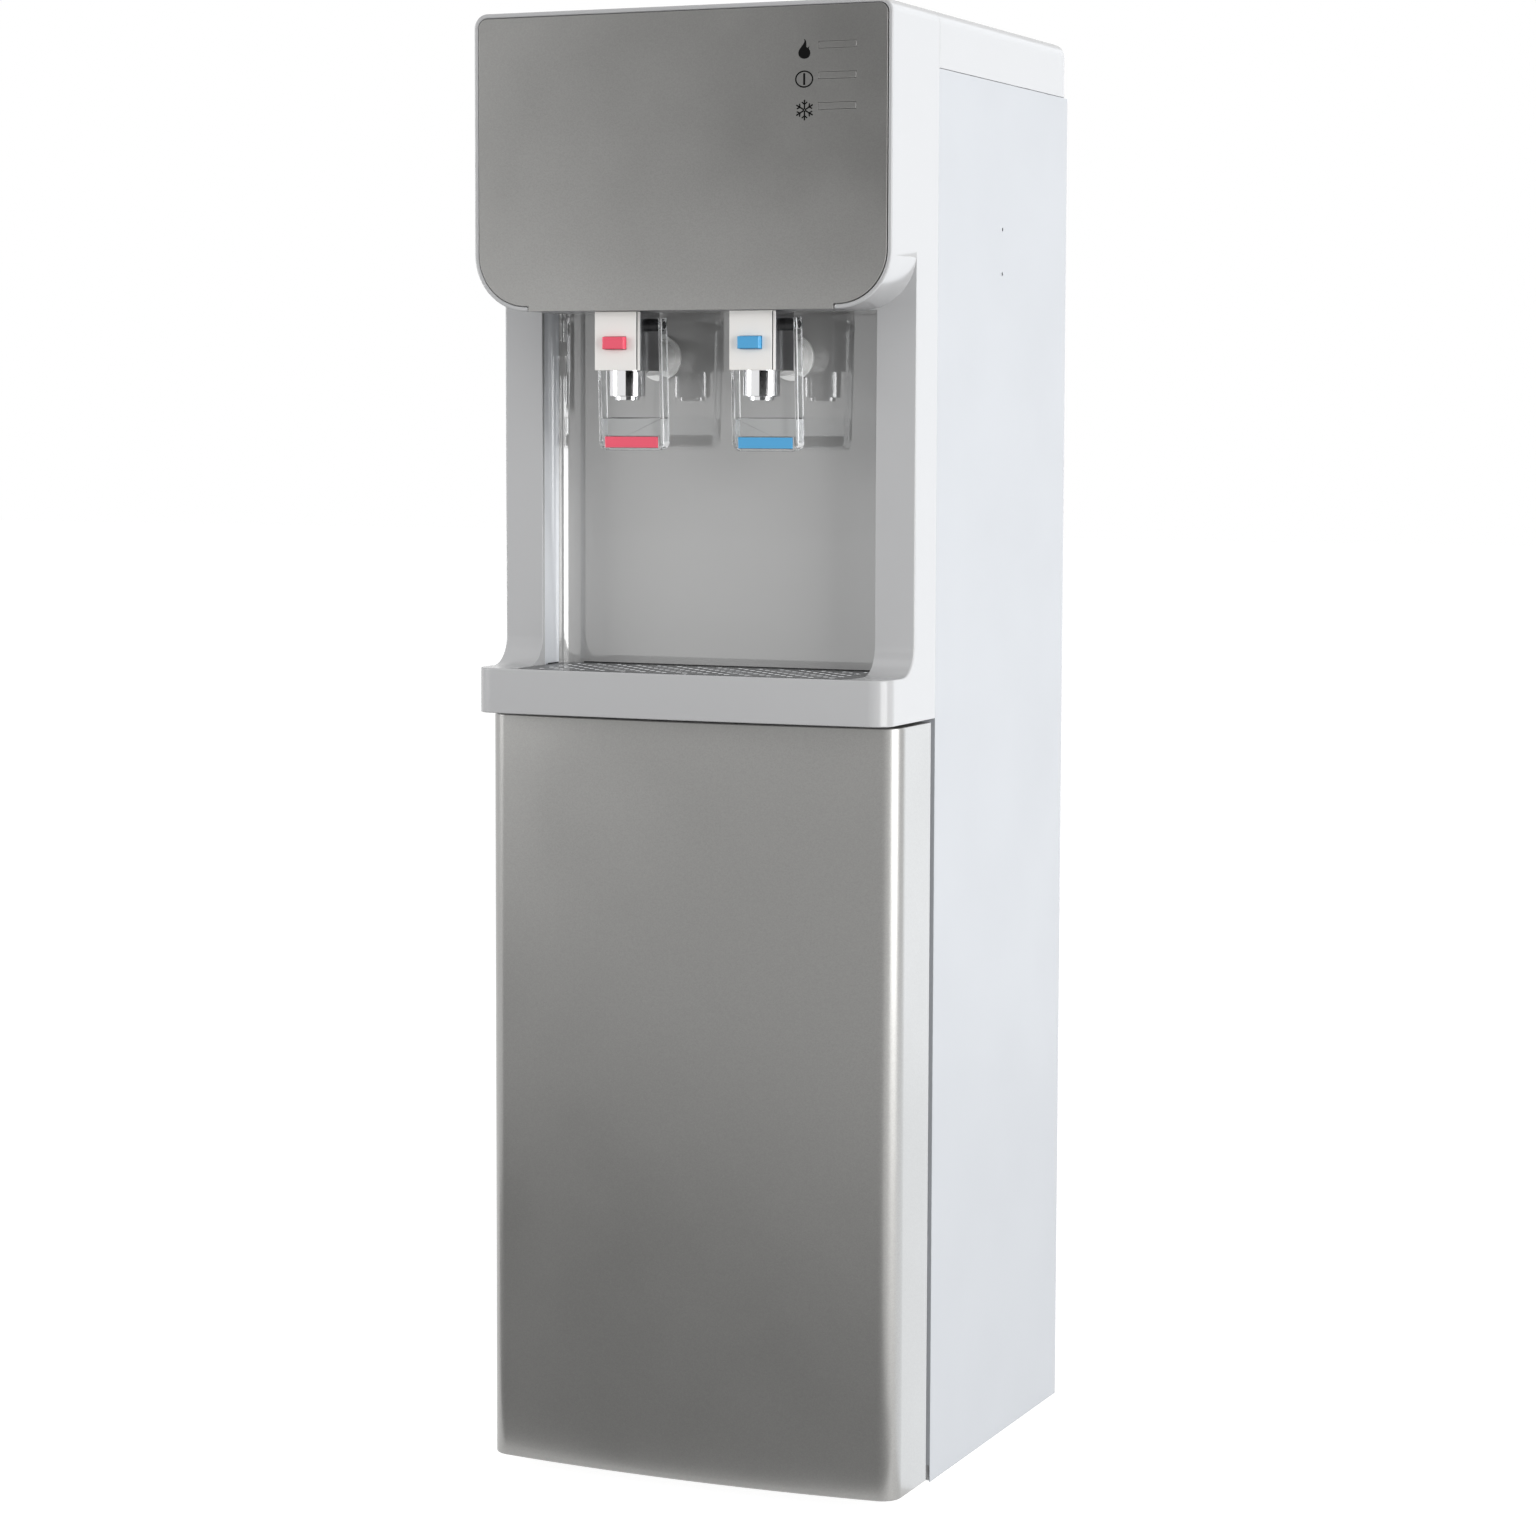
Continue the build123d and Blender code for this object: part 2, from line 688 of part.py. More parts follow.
with BuildPart() as back_panel:
    with BuildSketch(facing_front(back_panel_y)):
        with Locations((0, (back_top_z + back_bottom_z) / 2)):
            Rectangle(2 * back_half, back_top_z - back_bottom_z)
    extrude(amount=-back_return)
    with BuildSketch(facing_front(back_panel_y + sheet)):
        with Locations((0, (back_top_z + back_bottom_z) / 2)):
            Rectangle(2 * (back_half - sheet), back_top_z - back_bottom_z + 2 * overrun)
    extrude(amount=-back_return, mode=Mode.SUBTRACT)
    with BuildSketch(facing_front(back_panel_y)):
        with Locations((0, vent_mid_z)):
            with GridLocations(vent_pitch_x, vent_pitch_z, 2, vent_rows):
                SlotOverall(vent_width, vent_height)
        with Locations((switch_x, fitting_row_z)):
            with GridLocations(switch_pitch, 0, 2, 1):
                Rectangle(switch_cut_width, switch_cut_height)
        with Locations((power_x, fitting_row_z)):
            Rectangle(power_cut_width, power_cut_height)
        with Locations((inlet_x, fitting_row_z)):
            Circle(inlet_radius)
        with Locations((drain_x, drain_z)):
            with GridLocations(drain_pitch, 0, 2, 1):
                Circle(drain_radius)
    extrude(amount=-sheet, mode=Mode.SUBTRACT)
save(back_panel.part, "back_panel")

# Rear rocker switches: one housing and one rocker for each heating or cooling circuit
housing_gap = 0.2
bezel_width = 31.0
bezel_height = 25.6
bezel_thickness = 2.0
housing_depth = 20.0
rocker_width = 20.0
rocker_height = 17.0
rocker_gap = 0.5
rocker_axle_radius = 1.5
rocker_depth = 4.0
rocker_proud = 2.6
rocker_tilt = 7.0
rocker_axle_reach = 1.5
back_face_y = back_panel_y + sheet
rocker_y = back_face_y + bezel_thickness - rocker_depth / 2
switch_places = [(switch_x - switch_pitch / 2, fitting_row_z), (switch_x + switch_pitch / 2, fitting_row_z)]

with BuildPart() as switch_housings:
    with BuildSketch(facing_front(back_face_y)):
        with Locations(switch_places):
            Rectangle(bezel_width, bezel_height)
    extrude(amount=-bezel_thickness)
    with BuildSketch(facing_front(back_face_y)):
        with Locations(switch_places):
            Rectangle(switch_cut_width - 2 * housing_gap, switch_cut_height - 2 * housing_gap)
    extrude(amount=housing_depth)
    with BuildSketch(facing_front(back_face_y + bezel_thickness)):
        with Locations(switch_places):
            Rectangle(rocker_width + 2 * rocker_gap, rocker_height + 2 * rocker_gap)
    extrude(amount=housing_depth / 2, mode=Mode.SUBTRACT)
    with BuildSketch(facing_right(switch_x - switch_pitch)):
        with Locations((rocker_y, fitting_row_z)):
            Circle(rocker_axle_radius + turning_clearance)
    extrude(amount=2 * switch_pitch, mode=Mode.SUBTRACT)
save(switch_housings.part, "switch_housings")

for place, name in zip(switch_places, ("switch_rocker_hot", "switch_rocker_cold")):
    tilt = radians(rocker_tilt)
    rocker_plane = Plane(
        origin=(place[0], rocker_y, place[1]), x_dir=(1, 0, 0), z_dir=(0, cos(tilt), -sin(tilt))
    )
    with BuildPart() as rocker:
        with BuildSketch(rocker_plane.offset(-rocker_depth / 2)):
            Rectangle(rocker_width, rocker_height)
        extrude(amount=rocker_depth + rocker_proud)
        with BuildSketch(rocker_plane.offset(rocker_depth / 2 + rocker_proud)):
            with GridLocations(0, rocker_height, 1, 2):
                Rectangle(rocker_width, rocker_height - rocker_proud)
        extrude(amount=-rocker_proud / 2, mode=Mode.SUBTRACT)
        with BuildSketch(facing_right(place[0])):
            with Locations((rocker_y, fitting_row_z)):
                Circle(rocker_axle_radius)
        extrude(amount=rocker_width / 2 + rocker_gap + rocker_axle_reach, both=True)
    save(rocker.part, name)

# Power inlet with three blades, snapped into the back panel
inlet_bezel_width = 31.0
inlet_bezel_height = 24.0
inlet_depth = 22.0
inlet_recess_width = 24.0
inlet_recess_height = 16.4
inlet_recess_depth = 17.0
inlet_corner = 4.0
blade_width = 2.0
blade_height = 4.0
blade_length = 13.0
blade_pitch = 7.0
blade_rise = 2.0

with BuildPart() as power_inlet:
    with BuildSketch(facing_front(back_face_y)):
        with Locations((power_x, fitting_row_z)):
            Rectangle(inlet_bezel_width, inlet_bezel_height)
    extrude(amount=-bezel_thickness)
    with BuildSketch(facing_front(back_face_y)):
        with Locations((power_x, fitting_row_z)):
            Rectangle(power_cut_width - 2 * housing_gap, power_cut_height - 2 * housing_gap)
    extrude(amount=inlet_depth)
    with BuildSketch(facing_front(back_face_y + bezel_thickness)) as inlet_recess:
        with Locations((power_x, fitting_row_z)):
            Rectangle(inlet_recess_width, inlet_recess_height)
        chamfer(inlet_recess.vertices().group_by(Axis.Y)[-1], inlet_corner)
    extrude(amount=inlet_recess_depth, mode=Mode.SUBTRACT)
    with BuildSketch(facing_front(back_face_y + bezel_thickness - inlet_recess_depth)):
        with Locations((power_x, fitting_row_z)):
            with Locations((-blade_pitch, -blade_rise), (0, blade_rise), (blade_pitch, -blade_rise)):
                Rectangle(blade_width, blade_height)
    extrude(amount=-blade_length)
save(power_inlet.part, "power_inlet")

# Water inlet fitting, a push-in elbow for 6.35 mm tube, and the screwed drain plugs
fitting_clearance = 0.2
fitting_bore = 3.2
fitting_collar_radius = 9.5
fitting_collar_length = 14.0
fitting_nut_radius = 9.5
fitting_nut_length = 6.0
fitting_inner_length = 16.0
fitting_bore_length = 20.0

with BuildPart() as water_inlet_fitting:
    with BuildSketch(facing_front(back_face_y)):
        with Locations((inlet_x, fitting_row_z)):
            Circle(fitting_collar_radius)
    extrude(amount=-fitting_collar_length)
    with BuildSketch(facing_front(back_face_y)):
        with Locations((inlet_x, fitting_row_z)):
            Circle(inlet_radius - fitting_clearance)
    extrude(amount=fitting_inner_length)
    with BuildSketch(facing_front(back_panel_y)):
        with Locations((inlet_x, fitting_row_z)):
            RegularPolygon(fitting_nut_radius, 6)
    extrude(amount=fitting_nut_length)
    with BuildSketch(facing_front(back_face_y + fitting_collar_length)):
        with Locations((inlet_x, fitting_row_z)):
            Circle(fitting_bore)
    extrude(amount=fitting_bore_length, mode=Mode.SUBTRACT)
save(water_inlet_fitting.part, "water_inlet_fitting")

plug_radius = 10.0
plug_length = 12.0
plug_flutes = 12
plug_flute_radius = 1.2
plug_inner_length = 16.0

with BuildPart() as drain_plugs:
    with BuildSketch(facing_front(back_face_y)):
        with Locations((drain_x, drain_z)):
            with GridLocations(drain_pitch, 0, 2, 1):
                Circle(plug_radius)
                with PolarLocations(plug_radius, plug_flutes):
                    Circle(plug_flute_radius, mode=Mode.SUBTRACT)
    extrude(amount=-plug_length)
    with BuildSketch(facing_front(back_face_y)):
        with Locations((drain_x, drain_z)):
            with GridLocations(drain_pitch, 0, 2, 1):
                Circle(drain_radius - fitting_clearance)
    extrude(amount=plug_inner_length)
save(drain_plugs.part, "drain_plugs")

# Compressor on four rubber mounts
mount_height = 12.0
mount_radius = 9.0
bolt_radius = 3.0
bolt_head_radius = 7.5
bolt_head_height = 3.0
foot_plate_thickness = 3.0
foot_plate_margin = 10.0
pot_radius = 61.0
pot_height = 138.0
pot_edge_radius = 26.0
pot_waist_height = 4.0
pot_waist_proud = 2.5
pot_waist_radius = pot_radius + pot_waist_proud
stub_radius = 4.0
stub_x = 55.0
stub_z = 110.0
foot_plate_z = base_top_z + mount_height
pot_bottom_z = foot_plate_z + foot_plate_thickness
pot_mid_z = pot_bottom_z + pot_height / 2

# Condenser plane and tube, which the compressor's stub meets
tube_radius = 2.4
wire_radius = 0.8
weld_gap = 0.15
condenser_setback = 6.8
condenser_y = rear_y - condenser_setback
bend_radius = 11.0
stub_end_y = condenser_y - bend_radius - tube_radius

with BuildPart() as compressor:
    with BuildSketch(level(foot_plate_z)):
        with Locations((compressor_x, compressor_y)):
            RectangleRounded(
                mount_spacing_x + 2 * foot_plate_margin,
                mount_spacing_y + 2 * foot_plate_margin,
                foot_plate_margin,
            )
            with GridLocations(mount_spacing_x, mount_spacing_y, 2, 2):
                Circle(bolt_radius + seam, mode=Mode.SUBTRACT)
    extrude(amount=foot_plate_thickness)
    with BuildSketch(level(foot_plate_z)):
        with Locations((compressor_x, compressor_y)):
            Circle(pot_radius)
    extrude(amount=pot_height)
    fillet(compressor.edges().sort_by(Axis.Z)[-1], pot_edge_radius)
    with BuildSketch(level(pot_mid_z)):
        with Locations((compressor_x, compressor_y)):
            Circle(pot_waist_radius)
    extrude(amount=pot_waist_height)
    with BuildSketch(facing_front(compressor_y)):
        with Locations((stub_x, stub_z)):
            Circle(stub_radius)
    extrude(amount=compressor_y - stub_end_y)
save(compressor.part, "compressor")

with BuildPart() as compressor_mounts:
    with BuildSketch(level(base_top_z)):
        with Locations((compressor_x, compressor_y)):
            with GridLocations(mount_spacing_x, mount_spacing_y, 2, 2):
                Circle(mount_radius)
                Circle(bolt_radius + seam, mode=Mode.SUBTRACT)
    extrude(amount=mount_height)
save(compressor_mounts.part, "compressor_mounts")

with BuildPart() as compressor_bolts:
    with BuildSketch(level(foot_height)):
        with Locations((compressor_x, compressor_y)):
            with GridLocations(mount_spacing_x, mount_spacing_y, 2, 2):
                Circle(bolt_radius)
    extrude(amount=pot_bottom_z - foot_height)
    with BuildSketch(level(pot_bottom_z)):
        with Locations((compressor_x, compressor_y)):
            with GridLocations(mount_spacing_x, mount_spacing_y, 2, 2):
                RegularPolygon(bolt_head_radius, 6)
    extrude(amount=bolt_head_height)
save(compressor_bolts.part, "compressor_bolts")

# Condenser: one serpentine tube, upright wires on both sides and two bars to the side panels
row_inset = 32.5
row_pitch = 50.0
first_row_z = 240.0
condenser_drop = 116.0
return_inset = 20.5
row_half = half_width - row_inset
return_x = return_inset - half_width
row_room = side_top_z - condenser_drop - first_row_z + row_pitch
row_count = 2 * int(row_room // (2 * row_pitch))
dryer_top_z = 150.0
row_bend_radius = row_pitch / 2 - seam
top_row_z = first_row_z + (row_count - 1) * row_pitch

route = [(stub_x, stub_end_y, stub_z), (stub_x, condenser_y, stub_z), (stub_x, condenser_y, first_row_z)]
for row in range(row_count):
    row_z = first_row_z + row * row_pitch
    end_x = row_half if row % 2 == 0 else -row_half
    route.append((end_x, condenser_y, row_z))
    if row < row_count - 1:
        route.append((end_x, condenser_y, row_z + row_pitch))
route[-1] = (return_x, condenser_y, top_row_z)
route.append((return_x, condenser_y, dryer_top_z))
corner_radii = [bend_radius, bend_radius] + [row_bend_radius] * (len(route) - 5) + [bend_radius]

with BuildPart() as condenser_tube:
    with BuildLine() as condenser_route:
        FilletPolyline(*route, radius=corner_radii)
    with BuildSketch(facing_front(stub_end_y)):
        with Locations((stub_x, stub_z)):
            Circle(tube_radius)
    sweep(path=condenser_route.line)
save(condenser_tube.part, "condenser_tube")

wire_pitch = 12.0
wire_side_room = 12.0
wire_count = int((2 * row_half - wire_side_room) // wire_pitch)
wire_overhang = 10.0
wire_length = (row_count - 1) * row_pitch + 2 * wire_overhang
wire_offset = tube_radius + weld_gap + wire_radius

with BuildPart() as condenser_wires:
    with BuildSketch(level(first_row_z - wire_overhang)):
        with Locations((0, condenser_y)):
            with GridLocations(wire_pitch, 2 * wire_offset, wire_count, 2):
                Circle(wire_radius)
    extrude(amount=wire_length)
save(condenser_wires.part, "condenser_wires")

bar_thickness = 1.6
bar_width = 14.0
rivet_head_radius = 3.2
rivet_head_height = 1.2
bar_back_y = rear_y - sheet
bar_places = [(0, rivet_low_z), (0, rivet_high_z)]

with BuildPart() as condenser_bars:
    with BuildSketch(facing_front(bar_back_y)):
        with Locations(bar_places):
            Rectangle(2 * (inner_x - base_gap), bar_width)
    extrude(amount=bar_thickness)
    with BuildSketch(facing_front(bar_back_y)):
        with Locations(bar_places):
            with GridLocations(2 * (half_width - rivet_inset), 0, 2, 1):
                Circle(rivet_radius)
    extrude(amount=bar_thickness, mode=Mode.SUBTRACT)
save(condenser_bars.part, "condenser_bars")

with BuildPart() as bar_rivets:
    with BuildSketch(facing_front(rear_y)):
        with Locations(bar_places):
            with GridLocations(2 * (half_width - rivet_inset), 0, 2, 1):
                Circle(rivet_radius)
    extrude(amount=sheet + bar_thickness)
    with BuildSketch(facing_front(bar_back_y - bar_thickness)):
        with Locations(bar_places):
            with GridLocations(2 * (half_width - rivet_inset), 0, 2, 1):
                Circle(rivet_head_radius)
    extrude(amount=rivet_head_height)
save(bar_rivets.part, "bar_rivets")

dryer_radius = 8.5
dryer_length = 95.0
dryer_edge_radius = 5.0

with BuildPart() as filter_dryer:
    with BuildSketch(level(dryer_top_z)):
        with Locations((return_x, condenser_y - dryer_radius / 2)):
            Circle(dryer_radius)
    extrude(amount=-dryer_length)
    fillet(filter_dryer.edges().filter_by(GeomType.CIRCLE), dryer_edge_radius / 2)
save(filter_dryer.part, "filter_dryer")

# Shelves across the body: the lower one holds the hot tank, the upper one the cold tank
shelf_flange = 14.0
upper_shelf_drop = 81.0
shelf_spacing = 195.0
upper_shelf_z = head_z - upper_shelf_drop
lower_shelf_z = upper_shelf_z - shelf_spacing
shelf_front_y = base_front_y
shelf_rear_y = back_panel_y - back_gap
shelf_half = inner_x - base_gap

with BuildPart() as tank_shelves:
    for shelf_z in (lower_shelf_z, upper_shelf_z):
        with BuildSketch(level(shelf_z)):
            with Locations((0, (shelf_front_y + shelf_rear_y) / 2)):
                Rectangle(2 * shelf_half, shelf_rear_y - shelf_front_y)
        extrude(amount=-shelf_flange)
        with BuildSketch(level(shelf_z - plate)):
            with Locations((0, (shelf_front_y + shelf_rear_y) / 2)):
                Rectangle(2 * (shelf_half - plate), shelf_rear_y - shelf_front_y + 2 * overrun)
        extrude(amount=-shelf_flange, mode=Mode.SUBTRACT)
save(tank_shelves.part, "tank_shelves")

# Cold tank in its foam jacket, wrapped by the evaporator, with lid and float valve
cold_x = 0.0
cold_front_gap = 6.5
cold_rear_gap = 21.0
foam_wall = 24.0
cold_height = 190.0
steel_wall = 1.0
evaporator_thickness = 4.0
evaporator_height = 130.0
evaporator_drop = 20.0
foam_floor = 24.0
foam_gap = 0.3
lid_thickness = 6.0
lid_rim = 6.0
foam_front_y = liner_back_y + cold_front_gap
foam_rear_y = back_panel_y - cold_rear_gap
foam_radius = (foam_rear_y - foam_front_y) / 2
cold_y = (foam_rear_y + foam_front_y) / 2
cold_radius = foam_radius - foam_wall
cold_bottom_z = upper_shelf_z + foam_floor
cold_top_z = cold_bottom_z + cold_height
foam_inner_radius = cold_radius + evaporator_thickness + 2 * foam_gap
evaporator_top_z = cold_top_z - evaporator_drop

with BuildPart() as cold_insulation:
    with BuildSketch(level(upper_shelf_z)):
        with Locations((cold_x, cold_y)):
            Circle(foam_radius)
    extrude(amount=foam_floor + cold_height)
    with BuildSketch(level(cold_bottom_z)):
        with Locations((cold_x, cold_y)):
            Circle(foam_inner_radius)
    extrude(amount=cold_height, mode=Mode.SUBTRACT)
save(cold_insulation.part, "cold_insulation")

with BuildPart() as cold_tank:
    with BuildSketch(level(cold_bottom_z)):
        with Locations((cold_x, cold_y)):
            Circle(cold_radius)
    extrude(amount=cold_height)
    with BuildSketch(level(cold_bottom_z + steel_wall)):
        with Locations((cold_x, cold_y)):
            Circle(cold_radius - steel_wall)
    extrude(amount=cold_height, mode=Mode.SUBTRACT)
save(cold_tank.part, "cold_tank")

with BuildPart() as evaporator_coil:
    with BuildSketch(level(evaporator_top_z - evaporator_height)):
        with Locations((cold_x, cold_y)):
            Circle(foam_inner_radius - foam_gap)
            Circle(cold_radius + foam_gap, mode=Mode.SUBTRACT)
    extrude(amount=evaporator_height)
save(evaporator_coil.part, "evaporator_coil")

valve_inset = 36.0
valve_hole_radius = 6.5
valve_radius = 6.3
valve_cap_radius = 12.0
valve_cap_height = 14.0
valve_drop = 22.0
arm_inset = 22.0
arm_radius = 2.0
arm_pin_radius = 1.5
arm_reach = 8.0
arm_droop = 30.0
float_radius = 20.0
float_height = 30.0
fork_width = 14.0
fork_slot = 7.0
knuckle_width = 6.4
valve_x = valve_inset - cold_radius
arm_length = cold_radius - arm_inset
lid_top_z = cold_top_z + lid_thickness
pivot_z = cold_top_z - valve_drop
arm_x = valve_x + arm_reach

with BuildPart() as cold_tank_lid:
    with BuildSketch(level(cold_top_z)):
        with Locations((cold_x, cold_y)):
            Circle(foam_radius - lid_rim)
        with Locations((valve_x, cold_y)):
            Circle(valve_hole_radius, mode=Mode.SUBTRACT)
    extrude(amount=lid_thickness)
    with BuildSketch(level(cold_top_z)):
        with Locations((cold_x, cold_y)):
            Circle(cold_radius - steel_wall - foam_gap)
            Circle(cold_radius - steel_wall - foam_gap - lid_rim, mode=Mode.SUBTRACT)
    extrude(amount=-lid_rim)
save(cold_tank_lid.part, "cold_tank_lid")

with BuildPart() as float_valve:
    with BuildSketch(level(lid_top_z)):
        with Locations((valve_x, cold_y)):
            Circle(valve_cap_radius)
    extrude(amount=valve_cap_height)
    with BuildSketch(level(lid_top_z)):
        with Locations((valve_x, cold_y)):
            Circle(valve_radius)
    extrude(amount=pivot_z + valve_radius - lid_top_z)
    with BuildSketch(level(pivot_z - valve_radius)):
        with Locations((valve_x + arm_reach / 2, cold_y)):
            Rectangle(2 * arm_reach, fork_width)
        with Locations((valve_x + arm_reach, cold_y)):
            Rectangle(2 * arm_reach, fork_slot, mode=Mode.SUBTRACT)
    extrude(amount=2 * valve_radius)
    with BuildSketch(facing_front(cold_y)):
        with Locations((arm_x, pivot_z)):
            Circle(arm_pin_radius)
    extrude(amount=fork_width / 2, both=True)
save(float_valve.part, "float_valve")

droop = radians(arm_droop)
arm_plane = Plane(
    origin=(arm_x, cold_y, pivot_z), x_dir=(0, 1, 0), z_dir=(cos(droop), 0, -sin(droop))
)
float_plane = Plane(
    origin=(arm_x + arm_length * cos(droop), cold_y, pivot_z - arm_length * sin(droop)),
    x_dir=(0, 1, 0),
    z_dir=(sin(droop), 0, cos(droop)),
)

with BuildPart() as float_arm:
    with BuildSketch(facing_front(cold_y)):
        with Locations((arm_x, pivot_z)):
            Circle(valve_radius / 2)
    extrude(amount=knuckle_width / 2, both=True)
    with BuildSketch(arm_plane):
        Circle(arm_radius)
    extrude(amount=arm_length)
    with BuildSketch(float_plane):
        Circle(float_radius)
    extrude(amount=float_height / 2, both=True)
    with BuildSketch(facing_front(cold_y)):
        with Locations((arm_x, pivot_z)):
            Circle(arm_pin_radius + turning_clearance)
    extrude(amount=knuckle_width / 2, both=True, mode=Mode.SUBTRACT)
save(float_arm.part, "float_arm")

# Hot tank with rounded ends, in its jacket on the lower shelf
hot_x = -50.0
hot_shift = 13.0
hot_radius = 56.0
hot_height = 150.0
hot_lift = 14.0
hot_edge_radius = 14.0
hot_jacket_radius = 74.0
hot_jacket_gap = 0.3
hot_y = cold_y + hot_shift
hot_bottom_z = lower_shelf_z + hot_lift

with BuildPart() as hot_tank:
    with BuildSketch(level(hot_bottom_z)):
        with Locations((hot_x, hot_y)):
            Circle(hot_radius)
    extrude(amount=hot_height)
    fillet(hot_tank.edges().sort_by(Axis.Z)[-1], hot_edge_radius)
    with BuildSketch(level(hot_bottom_z + steel_wall)):
        with Locations((hot_x, hot_y)):
            Circle(hot_radius - hot_edge_radius)
    extrude(amount=hot_height - 2 * steel_wall, mode=Mode.SUBTRACT)
save(hot_tank.part, "hot_tank")

with BuildPart() as hot_insulation:
    with BuildSketch(level(lower_shelf_z)):
        with Locations((hot_x, hot_y)):
            Circle(hot_jacket_radius)
    extrude(amount=hot_lift + hot_height)
    with BuildSketch(level(hot_bottom_z)):
        with Locations((hot_x, hot_y)):
            Circle(hot_radius + hot_jacket_gap)
    extrude(amount=hot_height, mode=Mode.SUBTRACT)
save(hot_insulation.part, "hot_insulation")

# Taps: body, white cover, lock button, nozzle, clear push lever with its pad, plunger and nuts
tap_front_setback = 14.0
tap_width = 32.0
tap_depth = 39.0
tap_height = 41.0
tap_gap = 0.3
cover_face = 2.5
cover_skirt = 7.0
cover_wall = 1.6
cover_fit = 0.2
button_width = 16.5
button_height = 8.6
button_proud = 4.5
button_drop = 22.0
button_gap = 0.2
button_depth = 10.3
button_travel = 3.0
nozzle_radius = 13.0
nozzle_length = 18.0
nozzle_lip_length = 2.5
nozzle_lip_radius = 10.0
chamber_radius = 7.6
chamber_height = 30.0
plunger_length = 18.0
plunger_lift = 4.0
plunger_clearance = 0.08
channel_radius = 4.0
stem_length = 48.0
axle_drop = 9.0
axle_setback = 27.0
axle_radius = 2.6
shoulder_radius = 4.5
lever_width = 50.6
lever_depth = 10.0
lever_arm = 2.6
lever_length = 88.0
lever_window = 65.0
lever_top = 5.0
lever_lean = 3.0
lever_corner = 6.0
pad_width = 41.0
pad_height = 7.7
pad_lift = 2.2
pad_proud = 0.6
pad_gap = 0.1
nut_radius = 13.0
flange_radius = 16.6
flange_thickness = 3.0
lock_nut_radius = 15.0
lock_nut_length = 6.0
nut_gap = 0.05
tap_front_y = front_y + tap_front_setback
tap_back_y = tap_front_y + tap_depth
tap_top_z = head_z - tap_gap
tap_bottom_z = tap_top_z - tap_height
tap_mid_z = (tap_top_z + tap_bottom_z) / 2
nozzle_y = tap_front_y + tap_depth / 2
button_z = tap_top_z - button_drop
nose_back_y = tap_front_y + cover_skirt
axle_y = tap_front_y + axle_setback
axle_z = tap_top_z - axle_drop
arm_inner = lever_width / 2 - lever_arm
shoulder_end = arm_inner - sliding_clearance
lean = radians(lever_lean)

